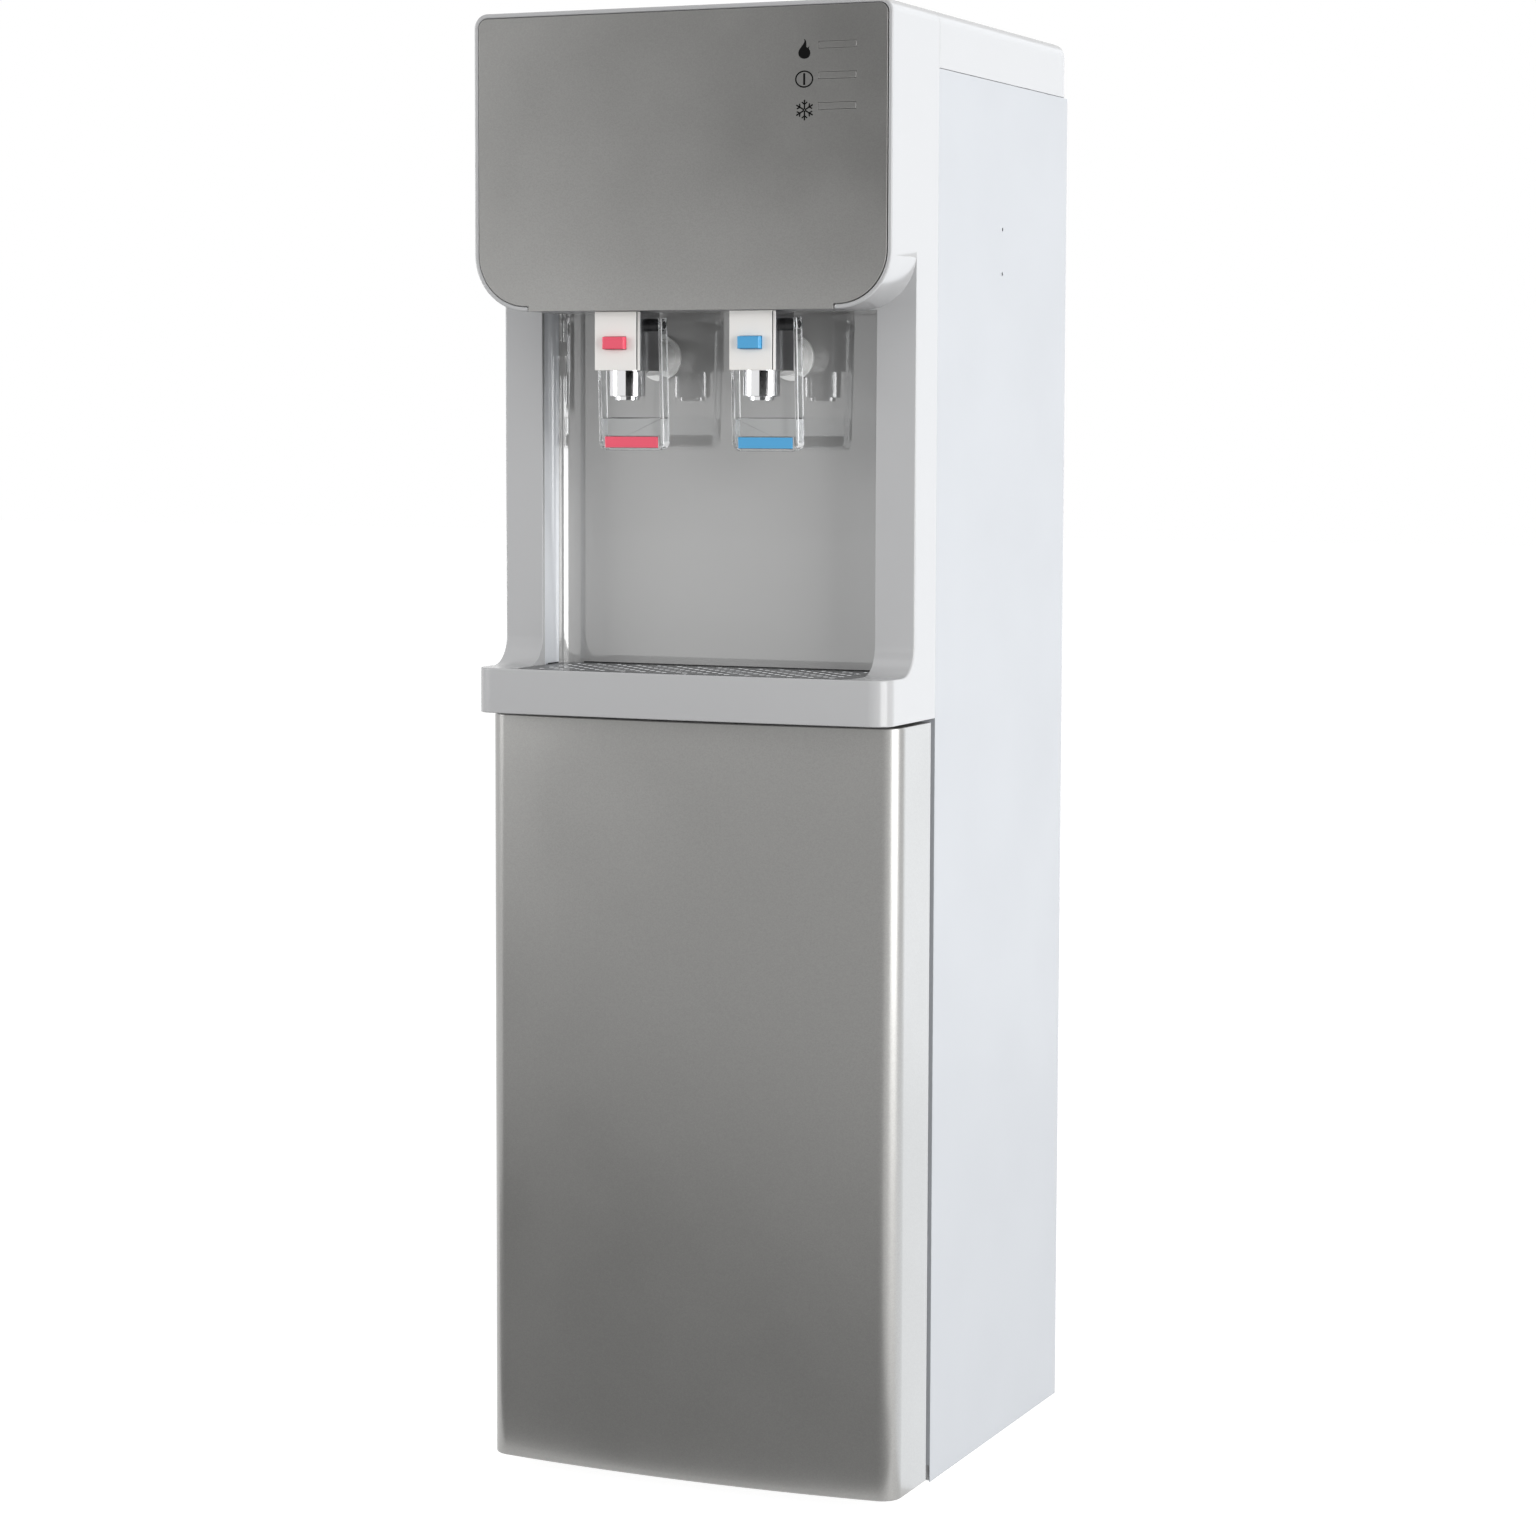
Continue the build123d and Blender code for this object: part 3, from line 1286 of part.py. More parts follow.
for side, name in ((-1, "hot"), (1, "cold")):
    tap_x = side * tap_offset
    with BuildPart() as tap_body:
        with BuildSketch(facing_front(nose_back_y)):
            with Locations((tap_x, tap_mid_z)):
                Rectangle(tap_width, tap_height)
        extrude(amount=nose_back_y - tap_back_y)
        with BuildSketch(facing_front(nose_back_y)):
            with Locations((tap_x, tap_mid_z + (cover_wall + cover_fit) / 2)):
                Rectangle(tap_width - 2 * (cover_wall + cover_fit), tap_height - cover_wall - cover_fit)
        extrude(amount=cover_skirt - cover_face)
        # Threaded stem through the niche wall, and the axle of the lever
        with BuildSketch(facing_front(tap_back_y)):
            with Locations((tap_x, stem_z)):
                Circle(stem_radius)
        extrude(amount=-stem_length)
        with BuildSketch(facing_right(tap_x)):
            with Locations((axle_y, axle_z)):
                Circle(shoulder_radius)
        extrude(amount=shoulder_end, both=True)
        with BuildSketch(facing_right(tap_x)):
            with Locations((axle_y, axle_z)):
                Circle(axle_radius)
        extrude(amount=lever_width / 2 + tap_gap, both=True)
        # Valve chamber, water channel and the pocket of the lock button
        with BuildSketch(level(tap_bottom_z)):
            with Locations((tap_x, nozzle_y)):
                Circle(chamber_radius)
        extrude(amount=chamber_height, mode=Mode.SUBTRACT)
        with BuildSketch(facing_front(nozzle_y)):
            with Locations((tap_x, stem_z)):
                Circle(channel_radius)
        extrude(amount=nozzle_y - tap_back_y - stem_length, mode=Mode.SUBTRACT)
        with BuildSketch(facing_front(tap_front_y)):
            with Locations((tap_x, button_z)):
                Rectangle(button_width + 2 * button_gap, button_height + 2 * button_gap)
        extrude(amount=button_proud - button_depth - button_travel - seam, mode=Mode.SUBTRACT)
    save(tap_body.part, f"tap_body_{name}")

    with BuildPart() as tap_button:
        with BuildSketch(facing_front(tap_front_y - button_proud)):
            with Locations((tap_x, button_z)):
                Rectangle(button_width, button_height)
        extrude(amount=-button_depth)
        chamfer(tap_button.faces().sort_by(Axis.Y)[0].edges(), pad_proud)
    save(tap_button.part, f"tap_button_{name}")

    with BuildPart() as tap_plunger:
        with BuildSketch(level(tap_bottom_z + plunger_lift)):
            with Locations((tap_x, nozzle_y)):
                Circle(chamber_radius - plunger_clearance)
        extrude(amount=plunger_length)
    save(tap_plunger.part, f"tap_plunger_{name}")

    lever_plane = Plane(
        origin=(tap_x, axle_y, axle_z), x_dir=(1, 0, 0), z_dir=(0, -cos(lean), -sin(lean))
    )
    with BuildPart() as tap_lever:
        with BuildSketch(lever_plane) as lever_front:
            with Locations((0, (lever_top - lever_length) / 2)):
                Rectangle(lever_width, lever_length + lever_top)
            fillet(lever_front.vertices().group_by(Axis.Y)[0], lever_corner)
            with Locations((0, (lever_top + overrun - lever_window) / 2)):
                Rectangle(2 * arm_inner, lever_window + lever_top + overrun, mode=Mode.SUBTRACT)
        extrude(amount=lever_depth / 2, both=True)
        # Hollow back of the paddle, and the slot of its pad
        with BuildSketch(lever_plane.offset(lever_depth / 2 - lever_arm)):
            with Locations((0, -(lever_length - lever_arm + lever_window - lever_arm) / 2)):
                RectangleRounded(2 * arm_inner, lever_length - lever_window, lever_corner - lever_arm)
        extrude(amount=-lever_depth, mode=Mode.SUBTRACT)
        with BuildSketch(lever_plane.offset(lever_depth / 2)):
            with Locations((0, pad_lift + pad_height / 2 - lever_length)):
                Rectangle(pad_width + 2 * pad_gap, pad_height + 2 * pad_gap)
        extrude(amount=-lever_arm, mode=Mode.SUBTRACT)
        with BuildSketch(facing_right(tap_x)):
            with Locations((axle_y, axle_z)):
                Circle(axle_radius + turning_clearance)
        extrude(amount=lever_width, both=True, mode=Mode.SUBTRACT)
    save(tap_lever.part, f"tap_lever_{name}")

    with BuildPart() as tap_pad:
        with BuildSketch(lever_plane.offset(lever_depth / 2 + pad_proud)):
            with Locations((0, pad_lift + pad_height / 2 - lever_length)):
                Rectangle(pad_width, pad_height)
        extrude(amount=-pad_proud - lever_arm)
    save(tap_pad.part, f"tap_pad_{name}")

tap_places = [(-tap_offset, stem_z), (tap_offset, stem_z)]

with BuildPart() as tap_covers:
    with BuildSketch(facing_front(tap_front_y)):
        with Locations((-tap_offset, tap_mid_z), (tap_offset, tap_mid_z)):
            Rectangle(tap_width, tap_height)
    extrude(amount=-cover_skirt)
    with BuildSketch(facing_front(tap_front_y + cover_face)):
        with Locations((-tap_offset, tap_mid_z + cover_wall), (tap_offset, tap_mid_z + cover_wall)):
            Rectangle(tap_width - 2 * cover_wall, tap_height)
    extrude(amount=-cover_skirt, mode=Mode.SUBTRACT)
    with BuildSketch(facing_front(tap_front_y)):
        with Locations((-tap_offset, button_z), (tap_offset, button_z)):
            Rectangle(button_width + 2 * button_gap, button_height + 2 * button_gap)
    extrude(amount=-cover_face, mode=Mode.SUBTRACT)
save(tap_covers.part, "tap_covers")

with BuildPart() as tap_nozzles:
    with BuildSketch(level(tap_bottom_z)):
        with Locations((-tap_offset, nozzle_y), (tap_offset, nozzle_y)):
            Circle(nozzle_radius)
    extrude(amount=-nozzle_length)
    with BuildSketch(level(tap_bottom_z - nozzle_length)):
        with Locations((-tap_offset, nozzle_y), (tap_offset, nozzle_y)):
            Circle(nozzle_lip_radius)
    extrude(amount=-nozzle_lip_length)
    with BuildSketch(level(tap_bottom_z)):
        with Locations((-tap_offset, nozzle_y), (tap_offset, nozzle_y)):
            Circle(chamber_radius)
    extrude(amount=-nozzle_length - nozzle_lip_length, mode=Mode.SUBTRACT)
save(tap_nozzles.part, "tap_nozzles")

with BuildPart() as tap_nuts:
    with BuildSketch(facing_front(tap_back_y)):
        with Locations(tap_places):
            Circle(nut_radius)
    extrude(amount=tap_back_y - niche_y)
    with BuildSketch(facing_front(niche_y)):
        with Locations(tap_places):
            Circle(flange_radius)
    extrude(amount=flange_thickness)
    with BuildSketch(facing_front(liner_back_y)):
        with Locations(tap_places):
            RegularPolygon(lock_nut_radius, 6)
    extrude(amount=-lock_nut_length)
    with BuildSketch(facing_front(tap_back_y)):
        with Locations(tap_places):
            Circle(stem_radius + nut_gap)
    extrude(amount=-stem_length, mode=Mode.SUBTRACT)
save(tap_nuts.part, "tap_nuts")
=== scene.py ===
import json
import math

import bmesh
import bpy
from mathutils import Matrix, Vector


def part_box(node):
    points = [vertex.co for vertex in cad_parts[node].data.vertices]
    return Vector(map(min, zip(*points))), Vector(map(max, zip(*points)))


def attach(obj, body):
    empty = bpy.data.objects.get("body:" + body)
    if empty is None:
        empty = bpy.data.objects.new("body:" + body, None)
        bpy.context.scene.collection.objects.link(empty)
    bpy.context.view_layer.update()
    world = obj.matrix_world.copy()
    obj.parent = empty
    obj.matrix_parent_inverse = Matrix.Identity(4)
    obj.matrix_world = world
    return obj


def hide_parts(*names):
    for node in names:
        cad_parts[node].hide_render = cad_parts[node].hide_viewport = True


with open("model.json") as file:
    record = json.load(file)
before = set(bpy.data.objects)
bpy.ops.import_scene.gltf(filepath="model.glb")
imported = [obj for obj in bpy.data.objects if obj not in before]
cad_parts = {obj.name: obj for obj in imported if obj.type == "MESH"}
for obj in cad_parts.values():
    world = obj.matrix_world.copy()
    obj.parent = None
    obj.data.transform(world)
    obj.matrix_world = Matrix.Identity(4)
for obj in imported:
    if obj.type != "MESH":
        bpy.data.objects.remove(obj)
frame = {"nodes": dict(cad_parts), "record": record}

bl_info = {
    "name": "Water Dispenser",
    "version": (1, 0, 0),
    "blender": (4, 5, 0),
    "location": "3D View > Sidebar > Dispenser",
    "description": "Builds a free-standing hot and cold water dispenser around its CAD frame",
    "category": "Add Mesh",
}

MM = 0.001
record = frame["record"]
body_of = {node: body for body, nodes in record["behaviour"]["bodies"].items() for node in nodes}
slot_of = {part["node"]: part["material_slot"] for part in record["subparts"]}


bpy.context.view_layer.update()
head_panel_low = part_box("head_panel")[0]
grille_low, grille_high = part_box("drip_grille")
wires_low, wires_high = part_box("condenser_wires")
back_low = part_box("back_panel")[0]


# Settings that a user would change

class DispenserColours(bpy.types.PropertyGroup):
    """Colours of the visible finishes"""
    body_white: bpy.props.FloatVectorProperty(
        name="Body white", description="White moulding of the frame and the top cover",
        subtype="COLOR", size=3, min=0, max=1, default=(0.515, 0.518, 0.525))
    panel_silver: bpy.props.FloatVectorProperty(
        name="Panel silver", description="Silver paint of the head panel and the door",
        subtype="COLOR", size=3, min=0, max=1, default=(0.33, 0.327, 0.318))
    niche_grey: bpy.props.FloatVectorProperty(
        name="Niche grey", description="Glossy lining of the cup niche",
        subtype="COLOR", size=3, min=0, max=1, default=(0.42, 0.42, 0.417))
    side_steel: bpy.props.FloatVectorProperty(
        name="Side panels", description="Powder coat of the folded steel sides",
        subtype="COLOR", size=3, min=0, max=1, default=(0.485, 0.503, 0.53))
    hot_red: bpy.props.FloatVectorProperty(
        name="Hot red", description="Button and pad of the hot tap",
        subtype="COLOR", size=3, min=0, max=1, default=(0.95, 0.10, 0.17))
    cold_blue: bpy.props.FloatVectorProperty(
        name="Cold blue", description="Button and pad of the cold tap",
        subtype="COLOR", size=3, min=0, max=1, default=(0.075, 0.41, 0.76))


class DispenserSizes(bpy.types.PropertyGroup):
    """Sizes of details that the CAD frame leaves to the looks"""
    shell_edge: bpy.props.FloatProperty(
        name="Shell edge", description="Rounding of the outer edges of the white mouldings",
        unit="LENGTH", min=0.0001, max=0.0029, default=2.4 * MM)
    thin_edge: bpy.props.FloatProperty(
        name="Thin edge", description="Rounding of sheet metal and of inner edges",
        unit="LENGTH", min=0.00005, max=0.001, default=0.3 * MM)
    hole_rim: bpy.props.FloatProperty(
        name="Hole rim", description="Thickness of the raised rims around the grille's holes",
        unit="LENGTH", min=0.0001, max=0.002, default=0.28 * MM)
    screw_head: bpy.props.FloatProperty(
        name="Screw head", description="Diameter of the heads of the back panel's screws",
        unit="LENGTH", min=0.003, max=0.01, default=7.5 * MM)
    symbol_stroke: bpy.props.FloatProperty(
        name="Symbol stroke", description="Line width of the printed symbols",
        unit="LENGTH", min=0.0003, max=0.002, default=1.0 * MM)


class DispenserStage(bpy.types.PropertyGroup):
    """Light and camera"""
    side_light: bpy.props.FloatProperty(
        name="Side light", description="Power of the large soft lamp on the right",
        unit="POWER", min=0, max=2000, default=50.0)
    front_light: bpy.props.FloatProperty(
        name="Front light", description="Power of the soft lamp at the upper left",
        unit="POWER", min=0, max=2000, default=20.5)
    room_light: bpy.props.FloatProperty(
        name="Room light", description="Strength of the even light from all around",
        min=0, max=2, default=0.45)


def setting(group):
    """One of the scene's settings groups."""
    return getattr(bpy.context.scene, "dispenser_" + group)


# Nodes, and the shader groups that several materials share

def add_node(tree, kind, inputs=None, **options):
    """A new node with its options set. Its inputs are values, or the sockets that feed them."""
    node = tree.nodes.new(kind)
    for title, value in options.items():
        setattr(node, title, value)
    for title, value in (inputs or {}).items():
        if isinstance(value, bpy.types.NodeSocket):
            tree.links.new(value, node.inputs[title])
        else:
            node.inputs[title].default_value = value
    return node


def calculate(tree, operation, *terms):
    """The result of a math node on numbers and sockets."""
    return add_node(tree, "ShaderNodeMath", dict(enumerate(terms)), operation=operation).outputs[0]


def node_group(kind, name, inputs, outputs):
    """An empty node group, and what its inputs give. Inputs are (title, socket type, value)."""
    tree = bpy.data.node_groups.new(name, kind + "NodeTree")
    for title, socket_type, value in inputs:
        socket = tree.interface.new_socket(title, in_out="INPUT", socket_type="NodeSocket" + socket_type)
        if value is not None:
            socket.default_value = value
    for title, socket_type in outputs:
        tree.interface.new_socket(title, in_out="OUTPUT", socket_type="NodeSocket" + socket_type)
    return tree, tree.nodes.new("NodeGroupInput").outputs


def texture(tree, kind, size, place=None, **inputs):
    """A texture on Object coordinates, with patches of the size that a socket gives in metres."""
    if place is None:
        place = tree.nodes.new("ShaderNodeTexCoord").outputs["Object"]
    scale = calculate(tree, "DIVIDE", 1.0, size)
    return add_node(tree, "ShaderNodeTex" + kind, {"Scale": scale, "Vector": place, **inputs}).outputs


def uneven_gloss():
    """Roughness that drifts between two values, as on a surface that has been wiped and touched."""
    tree, given = node_group("Shader", "Uneven gloss", [
        ("Patch size", "Float", 0.08), ("Lowest", "Float", 0.2), ("Highest", "Float", 0.3)],
        [("Roughness", "Float")])
    noise = texture(tree, "Noise", given["Patch size"], Detail=3.0)
    spread = add_node(tree, "ShaderNodeMapRange", {
        "Value": noise["Fac"], "From Min": 0.25, "From Max": 0.75, "To Min": given["Lowest"],
        "To Max": given["Highest"]}, interpolation_type="SMOOTHSTEP")
    add_node(tree, "NodeGroupOutput", {"Roughness": spread.outputs["Result"]})
    return tree


def colour_drift():
    """A colour whose lightness drifts a little over the surface."""
    tree, given = node_group("Shader", "Colour drift", [
        ("Colour", "Color", (0.8, 0.8, 0.8, 1)), ("Drift", "Float", 0.04), ("Patch size", "Float", 0.1)],
        [("Colour", "Color")])
    noise = texture(tree, "Noise", given["Patch size"], Detail=3.0)
    darkest = calculate(tree, "SUBTRACT", 1.0, given["Drift"])
    spread = add_node(tree, "ShaderNodeMapRange", {"Value": noise["Fac"], "To Min": darkest, "To Max": 1.0})
    shade = add_node(tree, "ShaderNodeHueSaturation", {
        "Value": spread.outputs["Result"], "Color": given["Colour"]})
    add_node(tree, "NodeGroupOutput", {"Colour": shade.outputs["Color"]})
    return tree


def moulded_skin():
    """The faint waviness and grain of a moulded or painted skin, as a normal."""
    tree, given = node_group("Shader", "Moulded skin", [
        ("Grain size", "Float", 0.002), ("Depth", "Float", 0.00002), ("Strength", "Float", 0.3)],
        [("Normal", "Vector")])
    noise = texture(tree, "Noise", given["Grain size"], Detail=3.0)
    bump = add_node(tree, "ShaderNodeBump", {
        "Height": noise["Fac"], "Distance": given["Depth"], "Strength": given["Strength"]})
    add_node(tree, "NodeGroupOutput", {"Normal": bump.outputs["Normal"]})
    return tree


def coloured_cells(name, channel, darkest):
    """A colour in small cells, each a little lighter than the darkest share of it."""
    tree, given = node_group("Shader", name, [
        ("Colour", "Color", (0.6, 0.6, 0.6, 1)), ("Cell size", "Float", 0.01), ("Contrast", "Float", 0.2)],
        [("Colour", "Color")])
    cells = texture(tree, "Voronoi", given["Cell size"])
    split = add_node(tree, "ShaderNodeSeparateColor", {"Color": cells["Color"]})
    lightness = calculate(tree, "MULTIPLY_ADD", split.outputs[channel], given["Contrast"], darkest)
    shade = add_node(tree, "ShaderNodeHueSaturation", {"Value": lightness, "Color": given["Colour"]})
    add_node(tree, "NodeGroupOutput", {"Colour": shade.outputs["Color"]})
    return tree


def metal_flake():
    """Paint with fine metal flakes."""
    return coloured_cells("Metal flake", "Red", 0.95)


def zinc_spangle():
    """The crystal pattern of a zinc coat."""
    return coloured_cells("Zinc spangle", "Green", 0.88)


def drawn_lines():
    """Fine upright lines of rolled or brushed metal, as roughness and a normal."""
    tree, given = node_group("Shader", "Drawn lines", [
        ("Line size", "Float", 0.0015), ("Lowest", "Float", 0.25), ("Highest", "Float", 0.4)],
        [("Roughness", "Float"), ("Normal", "Vector")])
    place = tree.nodes.new("ShaderNodeTexCoord").outputs["Object"]
    stretch = add_node(tree, "ShaderNodeMapping", {"Scale": (1.0, 1.0, 0.04), "Vector": place})
    noise = texture(tree, "Noise", given["Line size"], stretch.outputs["Vector"])
    spread = add_node(tree, "ShaderNodeMapRange", {
        "Value": noise["Fac"], "To Min": given["Lowest"], "To Max": given["Highest"]})
    bump = add_node(tree, "ShaderNodeBump", {"Strength": 0.25, "Distance": 0.02 * MM, "Height": noise["Fac"]})
    add_node(tree, "NodeGroupOutput", {
        "Roughness": spread.outputs["Result"], "Normal": bump.outputs["Normal"]})
    return tree


# Materials

shared_groups = {}
fed_inputs = {"Roughness": "Roughness", "Colour": "Base Color", "Normal": "Normal"}


def with_spaces(values):
    """Values by socket title, from names in which an underscore stands for a space."""
    return {title.replace("_", " "): value for title, value in values.items()}


def feed(shader, build, **values):
    """Feeds a shader from a shared group with its own values. Each group is built only once."""
    if build not in shared_groups:
        shared_groups[build] = build()
    tree = shader.id_data
    group = tree.nodes.new("ShaderNodeGroup")
    group.node_tree = shared_groups[build]
    for title, value in with_spaces(values).items():
        group.inputs[title].default_value = value
    for output in group.outputs:
        tree.links.new(output, shader.inputs[fed_inputs[output.name]])


def surface(name, **constants):
    """A material whose Principled shader has its constants set, and its shader."""
    material = bpy.data.materials.new(name)
    material.use_nodes = True
    shader = material.node_tree.nodes["Principled BSDF"]
    for title, value in with_spaces({"Coat_Roughness": 0.08, "IOR": 1.46, **constants}).items():
        shader.inputs[title].default_value = value
    return material, shader


def with_gloss(shader, lowest, highest, patch_size=0.08):
    """Drifting roughness. A range across 0.27 would leave hard outlines in a denoised render."""
    feed(shader, uneven_gloss, Patch_size=patch_size, Lowest=lowest, Highest=highest)


def with_drift(shader, colour, drift=0.03, patch_size=0.1):
    """Drifting base colour."""
    feed(shader, colour_drift, Colour=(*colour, 1), Drift=drift, Patch_size=patch_size)


def with_skin(shader, grain_size, depth, strength=0.3):
    """Fine grain in the normal."""
    feed(shader, moulded_skin, Grain_size=grain_size, Depth=depth, Strength=strength)


def coloured(name, colour, gloss, drift=(), skin=None, **constants):
    """A material with drifting gloss and colour, and with a skin if that is given."""
    material, shader = surface(name, **constants)
    with_gloss(shader, *gloss)
    with_drift(shader, colour, *drift)
    if skin:
        with_skin(shader, *skin)
    return material


def moulded(name, colour, lowest, highest, coat=0.0, grain_size=2 * MM, depth=0.02 * MM, drift=0.03):
    """A moulded plastic."""
    return coloured(name, colour, (lowest, highest), (drift,), (grain_size, depth), Coat_Weight=coat)


def soft_matt(name, colour, lowest, highest, grain_size, depth):
    """Rubber or foam: matt, with an open grain."""
    return coloured(name, colour, (lowest, highest, 0.02), (0.15, 0.01), (grain_size, depth, 0.6))


def smooth_lining(name, colour):
    """A glossy lining without grain, so that what stands before it mirrors crisply."""
    return coloured(name, colour, (0.03, 0.05), Coat_Weight=1.0, Coat_Roughness=0.02, Coat_IOR=1.7, IOR=1.7)


def plated(name, colour):
    """Chrome plating on plastic."""
    return coloured(name, colour, (0.04, 0.09, 0.03), (0.03, 0.04), Metallic=1.0)


def clear_moulding(name, colour):
    """Clear moulded plastic."""
    return coloured(name, colour, (0.02, 0.05, 0.01), (0.02, 0.02), IOR=1.49, Transmission_Weight=1.0)


def painted_highlight_edge(name, colour):
    """The edges of a clear moulding painted near white: a painted highlight for the light that they gather.
    """
    return coloured(name, colour, (0.15, 0.3, 0.01), (0.04, 0.01), Coat_Weight=1.0, Coat_Roughness=0.05,
                    IOR=1.49, Transmission_Weight=0.15)


def flake_paint(name, colour):
    """Silver paint under a clear lacquer."""
    material, shader = surface(name, Metallic=0.75, Coat_Weight=0.35, Coat_Roughness=0.12)
    with_gloss(shader, 0.28, 0.34)
    feed(shader, metal_flake, Colour=(*colour, 1), Cell_size=0.7 * MM, Contrast=0.10)
    with_skin(shader, 3 * MM, 0.02 * MM, 0.15)
    return material


def zinc_sheet(name, colour):
    """Zinc coated steel sheet."""
    material, shader = surface(name, Metallic=0.85)
    with_gloss(shader, 0.32, 0.5, 0.03)
    feed(shader, zinc_spangle, Colour=(*colour, 1), Cell_size=9 * MM, Contrast=0.16)
    return material


def drawn_metal(name, colour, lowest, highest):
    """Brushed or drawn metal."""
    material, shader = surface(name, Metallic=1.0)
    feed(shader, drawn_lines, Line_size=1.5 * MM, Lowest=lowest, Highest=highest)
    with_drift(shader, colour, 0.06, 0.05)
    return material


finishes = {}


def make_finishes():
    """One material for each material slot of the record, and a few for single details."""
    colours = setting("colours")
    # The niche's side walls get a copy of the lining 2.15 times lighter and a little bluer: painted light,
    # for the light from the right that falls on them.
    painted_light_gain, painted_light_tint = 2.15, (0.95, 0.985, 1.04)
    painted_lit_side_grey = tuple(painted_light_gain * share * value for share, value in zip(painted_light_tint, colours.niche_grey))
    finishes.update({
        "white_plastic": moulded("White moulding", colours.body_white, 0.22, 0.26, coat=0.25,
                                 depth=0.004 * MM, drift=0.01),
        "silver_plastic": flake_paint("Silver paint", colours.panel_silver),
        "niche_plastic": smooth_lining("Niche lining", colours.niche_grey),
        "panel_steel": moulded("Powder coat", colours.side_steel, 0.30, 0.36, coat=0.15,
                               grain_size=1.2 * MM, depth=0.01 * MM, drift=0.015),
        "zinc_steel": zinc_sheet("Zinc sheet", (0.60, 0.61, 0.62)),
        "stainless": drawn_metal("Stainless steel", (0.66, 0.65, 0.63), 0.28, 0.38),
        "black_plastic": moulded("Black moulding", (0.022, 0.022, 0.023), 0.38, 0.50),
        "dark_plastic": moulded("Smoke grey moulding", (0.11, 0.112, 0.118), 0.28, 0.36),
        "lens_plastic": moulded("Window bars", (0.40, 0.40, 0.40), 0.12, 0.20, coat=0.5),
        "board_green": moulded("Solder mask", (0.02, 0.16, 0.07), 0.28, 0.4),
        "black_metal": moulded("Black enamel", (0.014, 0.014, 0.015), 0.20, 0.27, coat=0.3),
        "copper": drawn_metal("Copper tube", (0.72, 0.36, 0.22), 0.28, 0.38),
        "black_rubber": soft_matt("Black rubber", (0.02, 0.02, 0.02), 0.62, 0.78, 0.8 * MM, 0.05 * MM),
        "grey_foam": soft_matt("Foam", (0.62, 0.62, 0.58), 0.8, 0.95, 3 * MM, 0.5 * MM),
        "filter_white": moulded("Filter housing", (0.78, 0.80, 0.82), 0.18, 0.26, coat=0.3),
        "chrome": plated("Chrome plating", (0.78, 0.78, 0.79)),
        "tap_white": moulded("Tap white", (0.95, 0.93, 0.90), 0.18, 0.26, coat=1.0),
        "clear_plastic": clear_moulding("Clear lever", (0.95, 0.965, 0.97)),
        "red_plastic": moulded("Hot red", colours.hot_red, 0.18, 0.26, coat=0.3),
        "blue_plastic": moulded("Cold blue", colours.cold_blue, 0.18, 0.26, coat=0.3),
        "magnet_black": soft_matt("Magnet strip", (0.03, 0.028, 0.028), 0.55, 0.7, 0.6 * MM, 0.03 * MM),
        "tap_metal": drawn_metal("Tap metal", (0.45, 0.45, 0.46), 0.14, 0.2),
        "symbol_ink": coloured("Symbol ink", (0.004, 0.004, 0.004), (0.7, 0.8), (0.1,),
                               Specular_IOR_Level=0.1),
        # Lighter, bluer copy of the niche lining: painted light on the niche's side walls.
        "niche_side_painted_light": smooth_lining("Niche side painted light", painted_lit_side_grey),
        "bright_rim": plated("Bright rims", (0.95, 0.96, 0.97)),
        # Painted highlight for the edges of the clear levers.
        "painted_highlight_edge": painted_highlight_edge("Clear lever painted highlight", (0.95, 0.96, 0.97)),
        "collar": coloured("Collar", (0.96, 0.96, 0.95), (0.14, 0.2), (0.02,), Metallic=0.25,
                           Coat_Weight=0.8),
        "blue_band": moulded("Blue band", (0.03, 0.20, 0.50), 0.28, 0.35),
        "grey_cap": moulded("Grey cap", (0.30, 0.32, 0.34), 0.28, 0.35),
    })


# Pieces

def evaluated_mesh(thing):
    """The object's mesh with its modifiers applied."""
    graph = bpy.context.evaluated_depsgraph_get()
    return bpy.data.meshes.new_from_object(thing.evaluated_get(graph), depsgraph=graph)


def freeze(thing):
    """Applies every modifier, so that a plain mesh is left."""
    mesh = evaluated_mesh(thing)
    thing.modifiers.clear()
    thing.data = mesh


def linked(name, mesh):
    """A new object in the scene."""
    thing = bpy.data.objects.new(name, mesh)
    bpy.context.scene.collection.objects.link(thing)
    return thing


def finished(thing, body, slot, finish=None):
    """Gives a piece its material, which its finish names or else its slot, and its body."""
    thing.data.materials.clear()
    thing.data.materials.append(finishes[finish or slot])
    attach(thing, body)
    return thing


def folded_edges(shape, least_angle=math.radians(32)):
    """Edges where the surface turns by more than an angle."""
    return [edge for edge in shape.edges
            if len(edge.link_faces) == 2 and edge.calc_face_angle() > least_angle]


def flat_shading(thing):
    """Keeps flat faces flat beside rounded edges, by weighing normals by face area."""
    weigh = thing.modifiers.new("Flat shading", "WEIGHTED_NORMAL")
    weigh.keep_sharp = True
    weigh.weight = 100


